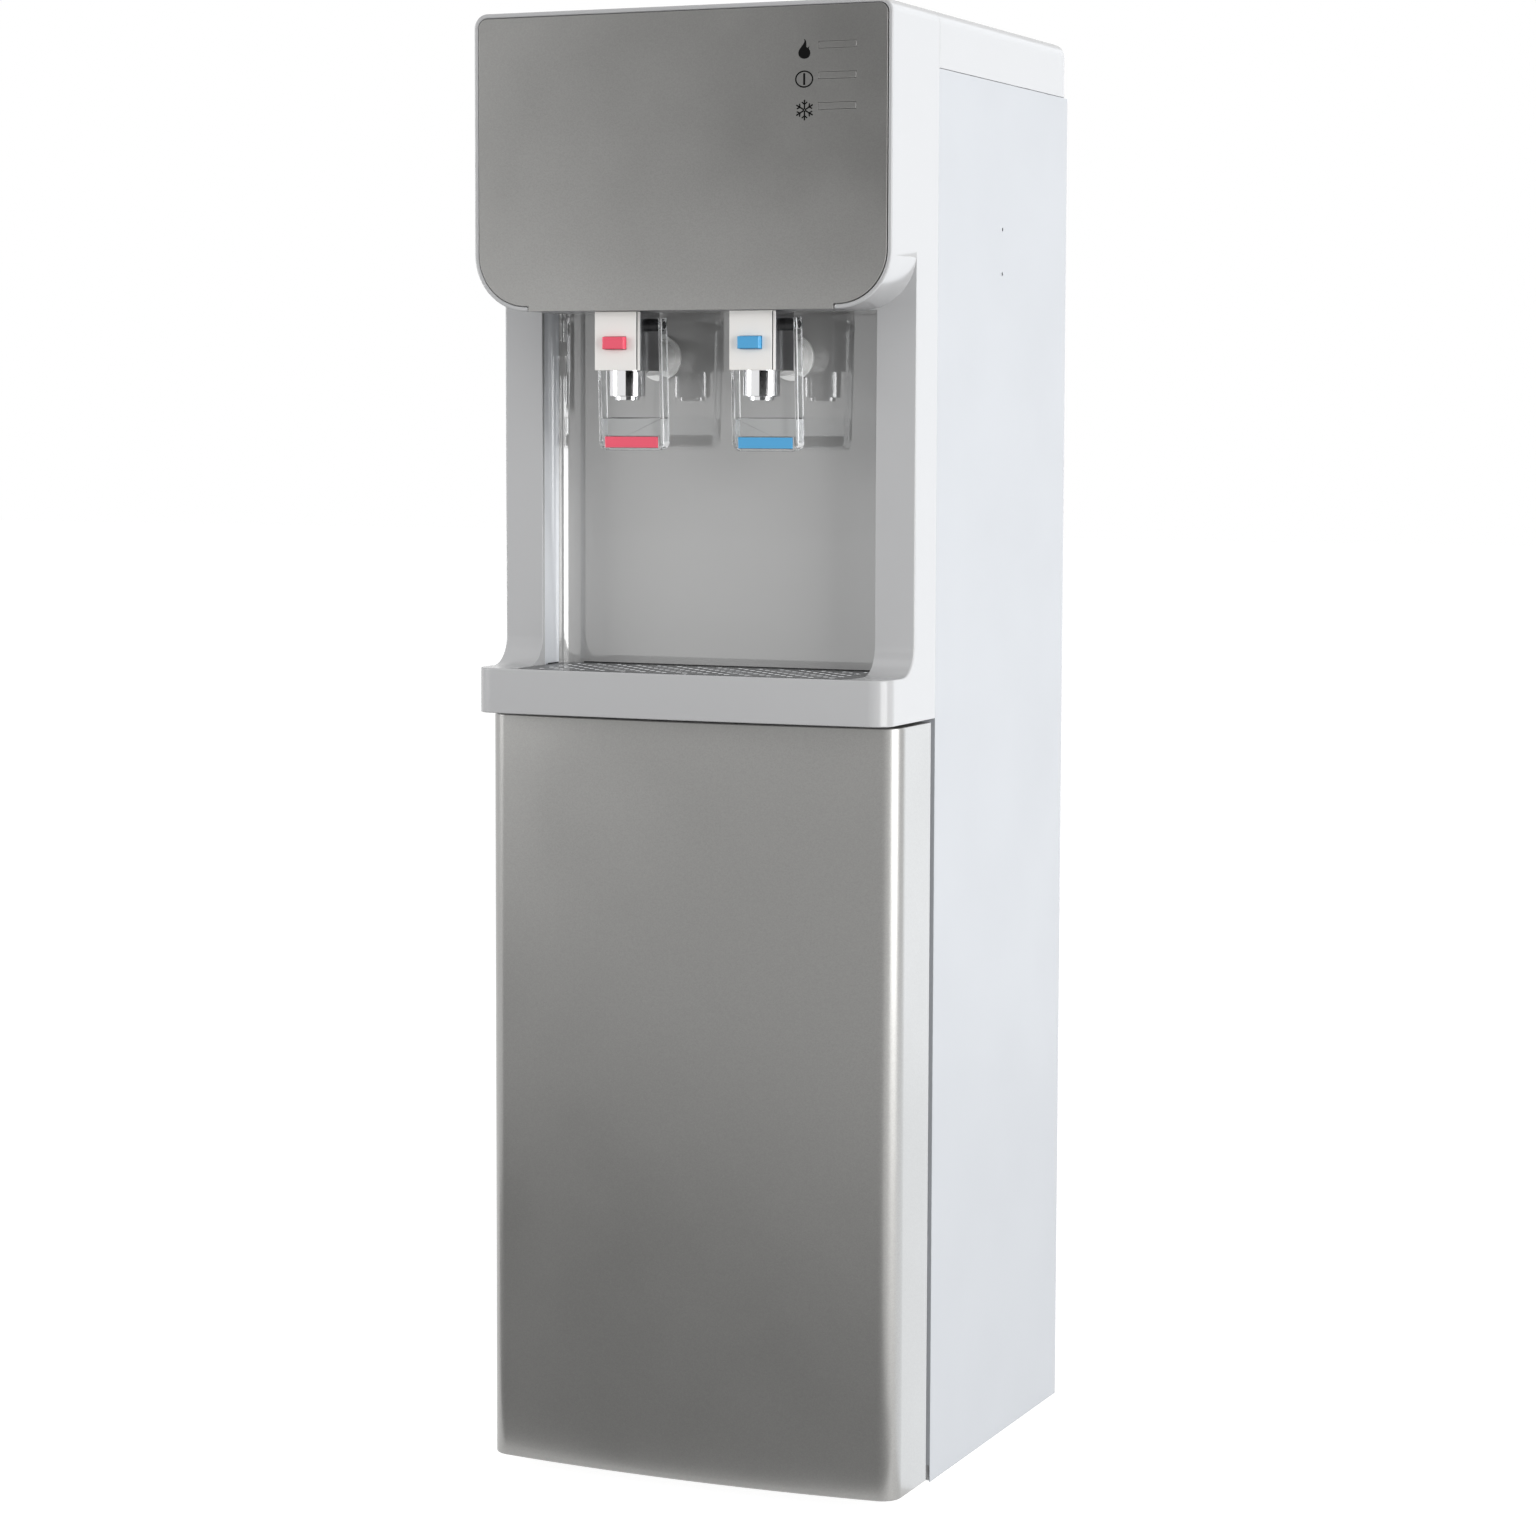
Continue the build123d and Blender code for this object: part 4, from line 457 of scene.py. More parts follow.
def softened(node, width, share_at=None, segments=2, prepare=None):
    """A copy of a CAD node with merged faces and rounded edges.

    share_at gives each edge's share of the width.
    """
    mesh = bpy.data.meshes.new(node + "_skin")
    shape = bmesh.new()
    shape.from_mesh(frame["nodes"][node].data)
    bmesh.ops.remove_doubles(shape, verts=shape.verts, dist=0.002 * MM)
    bmesh.ops.dissolve_limit(shape, angle_limit=math.radians(0.5), verts=shape.verts, edges=shape.edges,
                             use_dissolve_boundaries=False, delimit={"NORMAL"})
    if prepare:
        prepare(shape)
    weights = shape.edges.layers.float.new("bevel_weight_edge")
    for face in shape.faces:
        face.smooth = True
    for edge in folded_edges(shape):
        middle = (edge.verts[0].co + edge.verts[1].co) / 2
        edge.smooth = edge.is_convex
        if edge.is_convex:
            edge[weights] = share_at(middle) if share_at else 1.0
    shape.to_mesh(mesh)
    shape.free()
    thing = linked(node + "_skin", mesh)
    rounding = thing.modifiers.new("Rounding", "BEVEL")
    rounding.limit_method = "WEIGHT"
    rounding.width = width
    rounding.segments = segments
    rounding.use_clamp_overlap = False
    flat_shading(thing)
    freeze(thing)
    return thing


def second_finish(thing, finish, belongs):
    """Gives another finish to the faces of a piece that a test picks."""
    thing.data.materials.append(finishes[finish])
    for face in thing.data.polygons:
        if belongs(face):
            face.material_index = 1


def dressed(node, width=None, share_at=None, segments=2, finish=None, prepare=None):
    """A softened copy that stands for its CAD node, with thin edges unless a width is given."""
    thing = softened(node, width or setting("sizes").thin_edge, share_at, segments, prepare)
    finished(thing, body_of[node], slot_of[node], finish)
    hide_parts(node)
    return thing


def painted(*nodes):
    """CAD nodes that keep their shape and get a finish."""
    for node in nodes:
        mesh = frame["nodes"][node].data
        mesh.materials.clear()
        mesh.materials.append(finishes[slot_of[node]])


def prism(shape, outline, near, far):
    """Adds a closed outline in X and Z, drawn out from one depth to another."""
    front = [shape.verts.new((x, near, z)) for x, z in outline]
    back = [shape.verts.new((x, far, z)) for x, z in outline]
    shape.faces.new(front)
    shape.faces.new(list(reversed(back)))
    count = len(outline)
    for index in range(count):
        following = (index + 1) % count
        shape.faces.new((front[following], front[index], back[index], back[following]))


def block(shape, low, high):
    """Adds a box between two corners."""
    prism(shape, [(low[0], low[2]), (high[0], low[2]), (high[0], high[2]), (low[0], high[2])],
          low[1], high[1])


def joined_loops(shape, loops):
    """Adds the faces between loops of corners that follow each other."""
    steps = len(loops[0])
    for first, second in zip(loops, loops[1:]):
        for step in range(steps):
            following = (step + 1) % steps
            shape.faces.new((first[step], first[following], second[following], second[step]))


def turned(shape, profile, centre, steps=32, axis="Z"):
    """Adds a turned form. profile holds (radius, height) pairs, and both ends are closed."""
    loops = []
    for radius, height in profile:
        loops.append([])
        for step in range(steps):
            angle = step * math.tau / steps
            across, along = radius * math.cos(angle), radius * math.sin(angle)
            point = (across, along, height) if axis == "Z" else (across, height, along)
            loops[-1].append(shape.verts.new(Vector(centre) + Vector(point)))
    joined_loops(shape, loops)
    shape.faces.new(list(reversed(loops[0])))
    shape.faces.new(loops[-1])


def made(name, build, body, slot, finish=None, rounding=0.0, segments=2):
    """A new piece: build fills its mesh, and its sharp edges may be rounded."""
    shape = bmesh.new()
    build(shape)
    bmesh.ops.recalc_face_normals(shape, faces=shape.faces)
    mesh = bpy.data.meshes.new(name)
    for face in shape.faces:
        face.smooth = True
    for edge in folded_edges(shape):
        edge.smooth = bool(rounding) and edge.is_convex
    shape.to_mesh(mesh)
    shape.free()
    thing = linked(name, mesh)
    if rounding:
        edges = thing.modifiers.new("Rounding", "BEVEL")
        edges.limit_method = "ANGLE"
        edges.width = rounding
        edges.segments = segments
    flat_shading(thing)
    freeze(thing)
    return finished(thing, body, slot, finish)


# Geometry Nodes helpers

def repeat_tree(name, *sizes):
    """A geometry tree with named sizes, and what its inputs give."""
    inputs = [("Geometry", "Geometry", None), *[(title, "Float", 0.0) for title in sizes]]
    return node_group("Geometry", name, inputs, [("Geometry", "Geometry")])


def set_out(tree, points, thing, **inputs):
    """A copy of a thing at every point."""
    return add_node(tree, "GeometryNodeInstanceOnPoints", {
        "Points": points, "Instance": thing, **inputs}).outputs["Instances"]


def end_tree(tree, instances, material):
    """Realizes the instances, sets their material and closes the tree."""
    real = add_node(tree, "GeometryNodeRealizeInstances", {"Geometry": instances})
    smooth = add_node(tree, "GeometryNodeSetShadeSmooth", {"Geometry": real.outputs["Geometry"]})
    paint = add_node(tree, "GeometryNodeSetMaterial", {
        "Geometry": smooth.outputs["Geometry"], "Material": material})
    add_node(tree, "NodeGroupOutput", {"Geometry": paint.outputs["Geometry"]})
    return tree


def grown(name, tree, values, place, body, slot, finish, turn=None):
    """Runs a tree once, as a plain mesh at its place on a body."""
    thing = linked(name, bpy.data.meshes.new(name))
    growth = thing.modifiers.new("Repeats", "NODES")
    growth.node_group = tree
    for item in tree.interface.items_tree:
        if item.in_out == "INPUT" and item.name in values:
            growth[item.identifier] = values[item.name]
    freeze(thing)
    if turn:
        thing.data.transform(turn)
    for vertex in thing.data.vertices:
        vertex.co += Vector(place)
    thing.data.set_sharp_from_angle(angle=math.radians(40))
    return finished(thing, body, slot, finish)


# Stage: camera, floor and light

class DISPENSER_OT_stage(bpy.types.Operator):
    """Sets the camera, the pale floor, the soft lamps and the room"""
    bl_idname = "dispenser.stage"
    bl_label = "Stage"

    def execute(self, context):
        make_finishes()
        stage_camera()
        stage_floor()
        stage_lamps()
        stage_cards()
        stage_room()
        context.scene.view_settings.view_transform = "Standard"
        return {"FINISHED"}


def stage_camera():
    """The photograph's viewpoint."""
    place = (1101.2 * MM, -2549.9 * MM, 765.0 * MM)
    azimuth, pitch, roll = math.radians(23.503), math.radians(4.687), math.radians(0.193)
    lens = bpy.data.cameras.new("Viewpoint")
    lens.sensor_width, lens.lens = 36.0, 88.21
    lens.shift_y = -0.028
    lens.clip_start, lens.clip_end = 0.05, 60.0
    camera = linked("Viewpoint", lens)
    camera.matrix_world = (Matrix.Translation(place)
                           @ Matrix.Rotation(azimuth, 4, "Z")
                           @ Matrix.Rotation(math.pi / 2 - pitch, 4, "X")
                           @ Matrix.Rotation(roll, 4, "Z"))
    bpy.context.scene.camera = camera


def emptied(thing):
    """The node tree of a material or a world, with nothing in it."""
    thing.use_nodes = True
    thing.node_tree.nodes.clear()
    return thing.node_tree


def stage_floor():
    """A pale floor that keeps the shadow."""
    half = 20.0
    mesh = bpy.data.meshes.new("Floor")
    mesh.from_pydata([(-half, -half, 0), (half, -half, 0), (half, half, 0), (-half, half, 0)], [],
                     [(0, 1, 2, 3)])
    floor = linked("Floor", mesh)
    material = bpy.data.materials.new("Pale floor")
    tree = emptied(material)
    path = tree.nodes.new("ShaderNodeLightPath").outputs
    seen = calculate(tree, "MAXIMUM", path["Is Camera Ray"], path["Is Glossy Ray"])
    cover = add_node(tree, "ShaderNodeBsdfDiffuse", {"Color": (0.42, 0.42, 0.42, 1)})
    lift = add_node(tree, "ShaderNodeEmission", {
        "Color": (1, 1, 1, 1), "Strength": calculate(tree, "MULTIPLY", seen, 0.88)})
    total = add_node(tree, "ShaderNodeAddShader", {0: cover.outputs[0], 1: lift.outputs[0]})
    add_node(tree, "ShaderNodeOutputMaterial", {"Surface": total.outputs[0]})
    mesh.materials.append(material)


def stage_lamp(name, place, target, width, height, power):
    """A soft rectangular lamp aimed at a point."""
    light = bpy.data.lights.new(name, "AREA")
    light.shape = "RECTANGLE"
    light.size, light.size_y = width, height
    light.energy = power
    lamp = linked(name, light)
    lamp.location = place
    lamp.rotation_euler = (Vector(target) - Vector(place)).to_track_quat("-Z", "Y").to_euler()


def stage_lamps():
    """A large lamp on the right and a weaker one at the upper left."""
    lights = setting("stage")
    stage_lamp("Side lamp", (2.25, -0.85, 0.95), (0, -0.05, 0.6), 1.6, 2.0, lights.side_light)
    stage_lamp("Front lamp", (-1.85, -1.25, 1.1), (-0.1, -0.1, 0.75), 1.0, 1.2, lights.front_light)


def upright_card(start, end, heights):
    """Corners of an upright card between two places on the floor."""
    (start_x, start_y), (end_x, end_y), (low_z, high_z) = start, end, heights
    return [(start_x, start_y, low_z), (end_x, end_y, low_z), (end_x, end_y, high_z),
            (start_x, start_y, high_z)]


def floor_card(low, high):
    """Corners of a card that lies on the floor."""
    height = 4 * MM
    return [(low[0], low[1], height), (high[0], low[1], height), (high[0], high[1], height),
            (low[0], high[1], height)]


def stage_card(name, corners, base, across=0.0, upwards=0.0, most=10.0, tint=(1, 1, 1)):
    """A card that only reflections see. Its glow changes evenly along X and with the height."""
    mesh = bpy.data.meshes.new(name)
    mesh.from_pydata(corners, [], [(0, 1, 2, 3)])
    card = linked(name, mesh)
    for kind in ("camera", "diffuse", "transmission", "shadow", "volume_scatter"):
        setattr(card, "visible_" + kind, False)
    material = bpy.data.materials.new(name)
    tree = emptied(material)
    place = tree.nodes.new("ShaderNodeTexCoord").outputs["Object"]
    split = add_node(tree, "ShaderNodeSeparateXYZ", {"Vector": place}).outputs
    along = calculate(tree, "MULTIPLY_ADD", split["X"], across, base)
    rise = calculate(tree, "MULTIPLY_ADD", split["Z"], upwards, along)
    strength = calculate(tree, "MINIMUM", calculate(tree, "MAXIMUM", rise, 0.0), most)
    glow = add_node(tree, "ShaderNodeEmission", {"Color": (*tint, 1), "Strength": strength})
    add_node(tree, "ShaderNodeOutputMaterial", {"Surface": glow.outputs[0]})
    mesh.materials.append(material)


def stage_cards():
    """Grey, black and bright cards that the silver paint, the chrome and the white sides reflect."""
    cool = (0.94, 0.965, 1.0)
    left, right = (-1.1, -0.8), (0.36, -0.8)
    stage_card("Head card", upright_card(left, right, (0.88, 1.35)), 0.06, across=-1.05)
    stage_card("Door card", upright_card(left, right, (0.0, 0.52)), 0.33, across=0.25, upwards=1.9, most=0.70)
    stage_card("Low door card", floor_card(left, (0.36, -0.2)), 0.28)
    stage_card("Tap flag", upright_card((0.22, -1.15), (1.05, -0.60), (0.77, 0.86)), 0.0)
    stage_card("Side card", upright_card((0.25, 1.6), (2.0, 1.6), (0.0, 2.0)), 2.15, tint=cool)
    stage_card("Low side card", floor_card((0.162, -0.1), (2.0, 1.6)), 1.85, tint=cool)


def stage_room():
    """Even room light, seen as white by the camera and in reflections."""
    world = bpy.data.worlds.new("Room")
    tree = emptied(world)
    path = tree.nodes.new("ShaderNodeLightPath").outputs
    seen = calculate(tree, "MAXIMUM", path["Is Camera Ray"], path["Is Glossy Ray"])
    through = calculate(tree, "MAXIMUM", seen, path["Is Transmission Ray"])
    dim, white = [add_node(tree, "ShaderNodeBackground", {"Color": (1, 1, 1, 1), "Strength": strength})
                  for strength in (setting("stage").room_light, 1.0)]
    choice = add_node(tree, "ShaderNodeMixShader", {"Fac": through, 1: dim.outputs[0], 2: white.outputs[0]})
    add_node(tree, "ShaderNodeOutputWorld", {"Surface": choice.outputs[0]})
    bpy.context.scene.world = world


# White mouldings and sheet steel

class DISPENSER_OT_front_frame(bpy.types.Operator):
    """Makes the white front frame with rounded outer edges"""
    bl_idname = "dispenser.front_frame"
    bl_label = "Front frame"

    def execute(self, context):
        low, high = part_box("front_frame")
        shell_edge = setting("sizes").shell_edge
        reach = 0.6 * MM
        front_depth, foot_height = 9 * MM, 34 * MM
        outer_share, inner_share, rear_share = 0.55, 0.2, 0.08
        foot_share, foot_end_share = 0.5, 0.35
        ledge_rear_y = low.y + 32 * MM

        def share_at(middle):
            outer = min(middle.x - low.x, high.x - middle.x) < reach or middle.y < low.y + front_depth
            if middle.y > high.y - reach:
                return rear_share
            if middle.z < low.z + foot_height and outer:
                return foot_share if middle.z > low.z + reach else foot_end_share
            return outer_share if outer else inner_share

        def ledge_top(shape):
            return [face for face in shape.faces
                    if face.normal.z > 0.999 and abs(face.calc_center_median().z - grille_high.z) < 0.1 * MM
                    and min(vertex.co.y for vertex in face.verts) < ledge_rear_y - 0.01 * MM]

        def ring_on_ledge(shape):
            """A narrow ring of faces along the ledge's outline, so that its edge rounds evenly."""
            top = ledge_top(shape)
            corners = {corner for face in top for corner in face.verts}
            bounds = {edge for face in top for edge in face.edges}
            bmesh.ops.bisect_plane(shape, geom=[*top, *bounds, *corners], plane_co=(0, ledge_rear_y, 0),
                                   plane_no=(0, 1, 0))
            bmesh.ops.inset_region(shape, faces=ledge_top(shape), thickness=1.15 * shell_edge,
                                   use_even_offset=True, use_boundary=True)

        dressed("front_frame", shell_edge, share_at, segments=4, prepare=ring_on_ledge)
        return {"FINISHED"}


class DISPENSER_OT_covers(bpy.types.Operator):
    """Makes the top cover and the two folded side panels"""
    bl_idname = "dispenser.covers"
    bl_label = "Top cover and sides"

    def execute(self, context):
        dressed("top_cover", 1.2 * setting("sizes").thin_edge, segments=3)
        for node in ("side_panel_left", "side_panel_right"):
            dressed(node)
        return {"FINISHED"}


class DISPENSER_OT_head_panel(bpy.types.Operator):
    """Makes the silver head panel with its window bars and the board behind them"""
    bl_idname = "dispenser.head_panel"
    bl_label = "Head panel"

    def execute(self, context):
        dressed("head_panel")
        dressed("indicator_lenses", finish="silver_plastic")
        painted("display_board")
        return {"FINISHED"}


# Printed symbols beside the windows

def flame_outline(centre, width, height):
    """A flame with a bent tip and a small horn on its right, as (x, z) points."""
    shares = [(-0.08, 1.00), (0.06, 0.95), (0.15, 0.86), (0.17, 0.73), (0.17, 0.58), (0.27, 0.54),
              (0.42, 0.62), (0.37, 0.50), (0.46, 0.40), (0.50, 0.28), (0.46, 0.16), (0.36, 0.07),
              (0.20, 0.015), (0.02, 0.0), (-0.18, 0.02), (-0.35, 0.08), (-0.46, 0.18), (-0.50, 0.30),
              (-0.45, 0.42), (-0.33, 0.53), (-0.18, 0.66), (-0.04, 0.78), (0.02, 0.87), (0.0, 0.94)]
    return [(centre[0] + x * width, centre[1] + (z - 0.5) * height) for x, z in shares]


def stroke(shape, start, end, width, near, far):
    """Adds a straight printed line."""
    along = Vector((end[0] - start[0], end[1] - start[1])).normalized()
    side = Vector((-along.y, along.x)) * width / 2
    corners = [(start[0] - side.x, start[1] - side.y), (end[0] - side.x, end[1] - side.y),
               (end[0] + side.x, end[1] + side.y), (start[0] + side.x, start[1] + side.y)]
    prism(shape, corners, near, far)


def ring(shape, centre, reach, width, near, far, steps=48):
    """Adds a printed ring. reach holds its half width and half height."""
    angles = [step * math.tau / steps for step in range(steps)]
    half = width / 2
    loops = [[shape.verts.new((centre[0] + (reach[0] + grow) * math.cos(angle), depth,
                               centre[1] + (reach[1] + grow) * math.sin(angle))) for angle in angles]
             for grow, depth in ((half, near), (half, far), (-half, far), (-half, near))]
    joined_loops(shape, [*loops, loops[0]])


class DISPENSER_OT_symbols(bpy.types.Operator):
    """Prints the flame, the power ring and the snowflake beside the windows"""
    bl_idname = "dispenser.symbols"
    bl_label = "Symbols"

    def execute(self, context):
        width = setting("sizes").symbol_stroke
        near = head_panel_low.y - 0.05 * MM
        far = head_panel_low.y + 0.4 * MM
        flame_centre, flame_size = (94.0 * MM, 1013.4 * MM), (8.9 * MM, 13.6 * MM)
        ring_centre, ring_reach, bar_reach = Vector((94.0 * MM, 993.0 * MM)), (6.2 * MM, 5.3 * MM), 4.0 * MM
        flake_centre, flake_reach = Vector((94.3 * MM, 972.2 * MM)), 7.0 * MM
        fork_place, fork_length, fork_angle = 0.55, 0.36, math.radians(53)

        def flame(shape):
            prism(shape, flame_outline(flame_centre, *flame_size), near, far)

        def power(shape):
            ring(shape, ring_centre, ring_reach, width, near, far)
            bar = Vector((0, bar_reach))
            stroke(shape, ring_centre - bar, ring_centre + bar, 1.5 * width, near, far)

        def snowflake(shape):
            for arm in range(6):
                heading = math.radians(90 + 60 * arm)
                out = Vector((math.cos(heading), math.sin(heading)))
                stroke(shape, flake_centre + out * width * 0.4, flake_centre + out * flake_reach, width,
                       near, far)
                root = flake_centre + out * flake_reach * fork_place
                for lean in (-1, 1):
                    turn = heading + lean * fork_angle
                    tip = root + Vector((math.cos(turn), math.sin(turn))) * flake_reach * fork_length
                    stroke(shape, root, tip, 0.9 * width, near, far)

        for name, build in (("flame", flame), ("power", power), ("snowflake", snowflake)):
            made(name + "_symbol", build, "cabinet", "black_plastic", "symbol_ink")
        return {"FINISHED"}


# Cup niche and drip tray

class DISPENSER_OT_niche(bpy.types.Operator):
    """Makes the glossy lining of the cup niche"""
    bl_idname = "dispenser.niche"
    bl_label = "Cup niche"

    def execute(self, context):
        liner = dressed("niche_liner")
        # The niche's side walls take the lighter copy of the lining: painted light.
        second_finish(liner, "niche_side_painted_light", lambda face: abs(face.normal.x) > 0.95)
        bottom_z, top_z = grille_high.z + 0.1 * MM, grille_high.z + 0.9 * MM
        thin = 0.3 * MM
        wall_x, wall_y, corner = 127 * MM, -94 * MM, 14 * MM
        shadow_strip_front_y = -124 * MM

        def painted_shadow_strips(shape):
            """Adds black strips where the lining meets the drip tray: a painted shadow line at the lining's
            foot.
            """
            block(shape, (corner - wall_x, wall_y - thin, bottom_z), (wall_x - corner, wall_y + thin, top_z))
            for middle_x in (-wall_x, wall_x):
                block(shape, (middle_x - thin, shadow_strip_front_y, bottom_z),
                      (middle_x + thin, wall_y - corner, top_z))

        # Black strips at the foot of the lining stand for the shadow line there: painted shade.
        made("tray_seal", painted_shadow_strips, "cabinet", "black_rubber")
        return {"FINISHED"}


def hole_rims_tree(material):
    """Raised rims on two grids of points that are set between each other."""
    tree, given = repeat_tree("Hole rims", "Hole radius", "Rim", "Pitch X", "Pitch Y")
    loop, section = [
        add_node(tree, "GeometryNodeCurvePrimitiveCircle", {"Resolution": corners, "Radius": radius})
        for corners, radius in ((16, given["Hole radius"]), (6, given["Rim"]))]
    rim = add_node(tree, "GeometryNodeCurveToMesh", {
        "Curve": loop.outputs["Curve"], "Profile Curve": section.outputs["Curve"]})
    both = tree.nodes.new("GeometryNodeJoinGeometry")
    for columns, rows in ((15, 5), (14, 4)):
        grid = add_node(tree, "GeometryNodeMeshGrid", {
            "Vertices X": columns, "Vertices Y": rows,
            "Size X": calculate(tree, "MULTIPLY", given["Pitch X"], columns - 1),
            "Size Y": calculate(tree, "MULTIPLY", given["Pitch Y"], rows - 1)})
        rims = set_out(tree, grid.outputs["Mesh"], rim.outputs["Mesh"])
        tree.links.new(rims, both.inputs["Geometry"])
    return end_tree(tree, both.outputs["Geometry"], material)


class DISPENSER_OT_drip_tray(bpy.types.Operator):
    """Makes the drip basin and the perforated grille with its hole rims"""
    bl_idname = "dispenser.drip_tray"
    bl_label = "Drip tray"

    def execute(self, context):
        painted("drip_basin")
        dressed("drip_grille")
        values = {"Hole radius": 2.75 * MM, "Rim": setting("sizes").hole_rim, "Pitch X": 16 * MM,
                  "Pitch Y": 15 * MM}
        middle_y = (grille_low.y + grille_high.y) / 2
        rim_z = grille_high.z - 0.35 * MM
        grown("grille_hole_rims", hole_rims_tree(finishes["bright_rim"]), values, (0, middle_y, rim_z),
              "grille", "dark_plastic", "bright_rim")
        return {"FINISHED"}


# Taps

class DISPENSER_OT_taps(bpy.types.Operator):
    """Makes the two taps: bodies, covers, buttons, nozzles and collars"""
    bl_idname = "dispenser.taps"
    bl_label = "Taps"

    def execute(self, context):
        thin = setting("sizes").thin_edge
        dressed("tap_covers", 1.6 * thin, segments=3)
        dressed("tap_nuts", 1.6 * thin, segments=3, finish="collar")
        cover_low, cover_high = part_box("tap_covers")
        nozzle_low, nozzle_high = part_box("tap_nozzles")
        middle_x = {side: sum(corner.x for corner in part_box("tap_button_" + side)) / 2
                    for side in ("hot", "cold")}
        half_cover = cover_high.x - middle_x["cold"]

        def nozzles(shape):
            """Adds the two smooth spouts, each with its short lower lip."""
            lip_z, bevel = nozzle_low.z + 2.5 * MM, 0.3 * MM
            radius = nozzle_high.x - middle_x["cold"]
            lip_radius = radius - 4 * MM
            bore_radius, bore_z = lip_radius - 2 * MM, nozzle_low.z + 1.5 * MM
            profile = [(bore_radius, bore_z), (bore_radius, nozzle_low.z), (lip_radius, nozzle_low.z),
                       (lip_radius, lip_z), (radius - bevel, lip_z), (radius, lip_z + bevel),
                       (radius, nozzle_high.z)]
            for x in middle_x.values():
                turned(shape, profile, (x, (nozzle_low.y + nozzle_high.y) / 2, 0), steps=96)

        spouts = made("tap_spouts", nozzles, body_of["tap_nozzles"], slot_of["tap_nozzles"])
        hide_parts("tap_nozzles")

        def cover_lines(shape):
            """Adds the dark line behind the face of each cover."""
            proud, sunk, shorter = 0.06 * MM, 0.3 * MM, 0.5 * MM
            near, far = cover_low.y + 0.7 * MM, cover_low.y + 2.4 * MM
            for x in middle_x.values():
                for side in (-1, 1):
                    left, right = sorted((x + side * (half_cover + proud), x + side * (half_cover - sunk)))
                    block(shape, (left, near, cover_low.z + shorter),
                          (right, far, cover_high.z - shorter))

        made("cover_lines", cover_lines, body_of["tap_covers"], "black_plastic")
        for side, x in middle_x.items():
            body = dressed("tap_body_" + side, finish="tap_metal")
            # The lever axles beyond each cover get black enamel: painted shade, for the dark under the head.
            second_finish(body, "black_metal", lambda face: abs(face.center.x - x) > half_cover + thin)
            dressed("tap_button_" + side)
            painted("tap_plunger_" + side)
        return {"FINISHED"}


def painted_highlight_face(face, foot_z):
    """Whether a face of a lever is one of its upright edges or a side of its foot, the faces that get the
    painted highlight.
    """
    across = abs(face.normal.x)
    return abs(face.normal.z) < 0.5 and (0.25 < across < 0.97 or (across > 0.6 and face.center.z < foot_z))


class DISPENSER_OT_levers(bpy.types.Operator):
    """Makes the clear push levers and their coloured pads"""
    bl_idname = "dispenser.levers"
    bl_label = "Push levers"

    def execute(self, context):
        lever_edge = 1.8 * setting("sizes").thin_edge
        foot_height = 21 * MM
        for side in ("hot", "cold"):
            lever = dressed("tap_lever_" + side, lever_edge, segments=3)
            foot_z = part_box("tap_lever_" + side)[0].z + foot_height
            # The upright edges and the foot's sides of each lever are painted near white: painted highlight.
            second_finish(lever, "painted_highlight_edge", lambda face: painted_highlight_face(face, foot_z))
            dressed("tap_pad_" + side)
        return {"FINISHED"}


# Door and filter cabinet

class DISPENSER_OT_door(bpy.types.Operator):
    """Makes the bowed silver door with its liner, strike and hinge"""
    bl_idname = "dispenser.door"
    bl_label = "Door"

    def execute(self, context):
        low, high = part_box("door_shell")
        reach = 0.6 * MM

        def outer_share(middle):
            on_end = min(middle.z - low.z, high.z - middle.z) < reach
            return 1.0 if on_end and middle.y < high.y - 2 * MM else 0.25

        dressed("door_shell", 0.55 * setting("sizes").shell_edge, outer_share, segments=3)
        for node in ("door_liner", "door_strike", "door_magnet", "lower_hinge_bracket", "door_hinge_pins"):
            dressed(node)
        return {"FINISHED"}


def grip_ribs_tree(material):
    """Upright ribs around a circle."""
    tree, given = repeat_tree("Grip ribs", "Ring radius", "Rib height", "Rib width")
    circle = add_node(tree, "GeometryNodeMeshCircle", {"Vertices": 40, "Radius": given["Ring radius"]})
    size = add_node(tree, "ShaderNodeCombineXYZ", {
        "X": given["Rib width"], "Y": given["Rib width"], "Z": given["Rib height"]})
    rib = add_node(tree, "GeometryNodeMeshCube", {"Size": size.outputs["Vector"]})
    place = tree.nodes.new("GeometryNodeInputPosition").outputs["Position"]
    facing = add_node(tree, "FunctionNodeAlignEulerToVector", {"Vector": place}, axis="X")
    ribs = set_out(tree, circle.outputs["Mesh"], rib.outputs["Mesh"], Rotation=facing.outputs["Rotation"])
    return end_tree(tree, ribs, material)


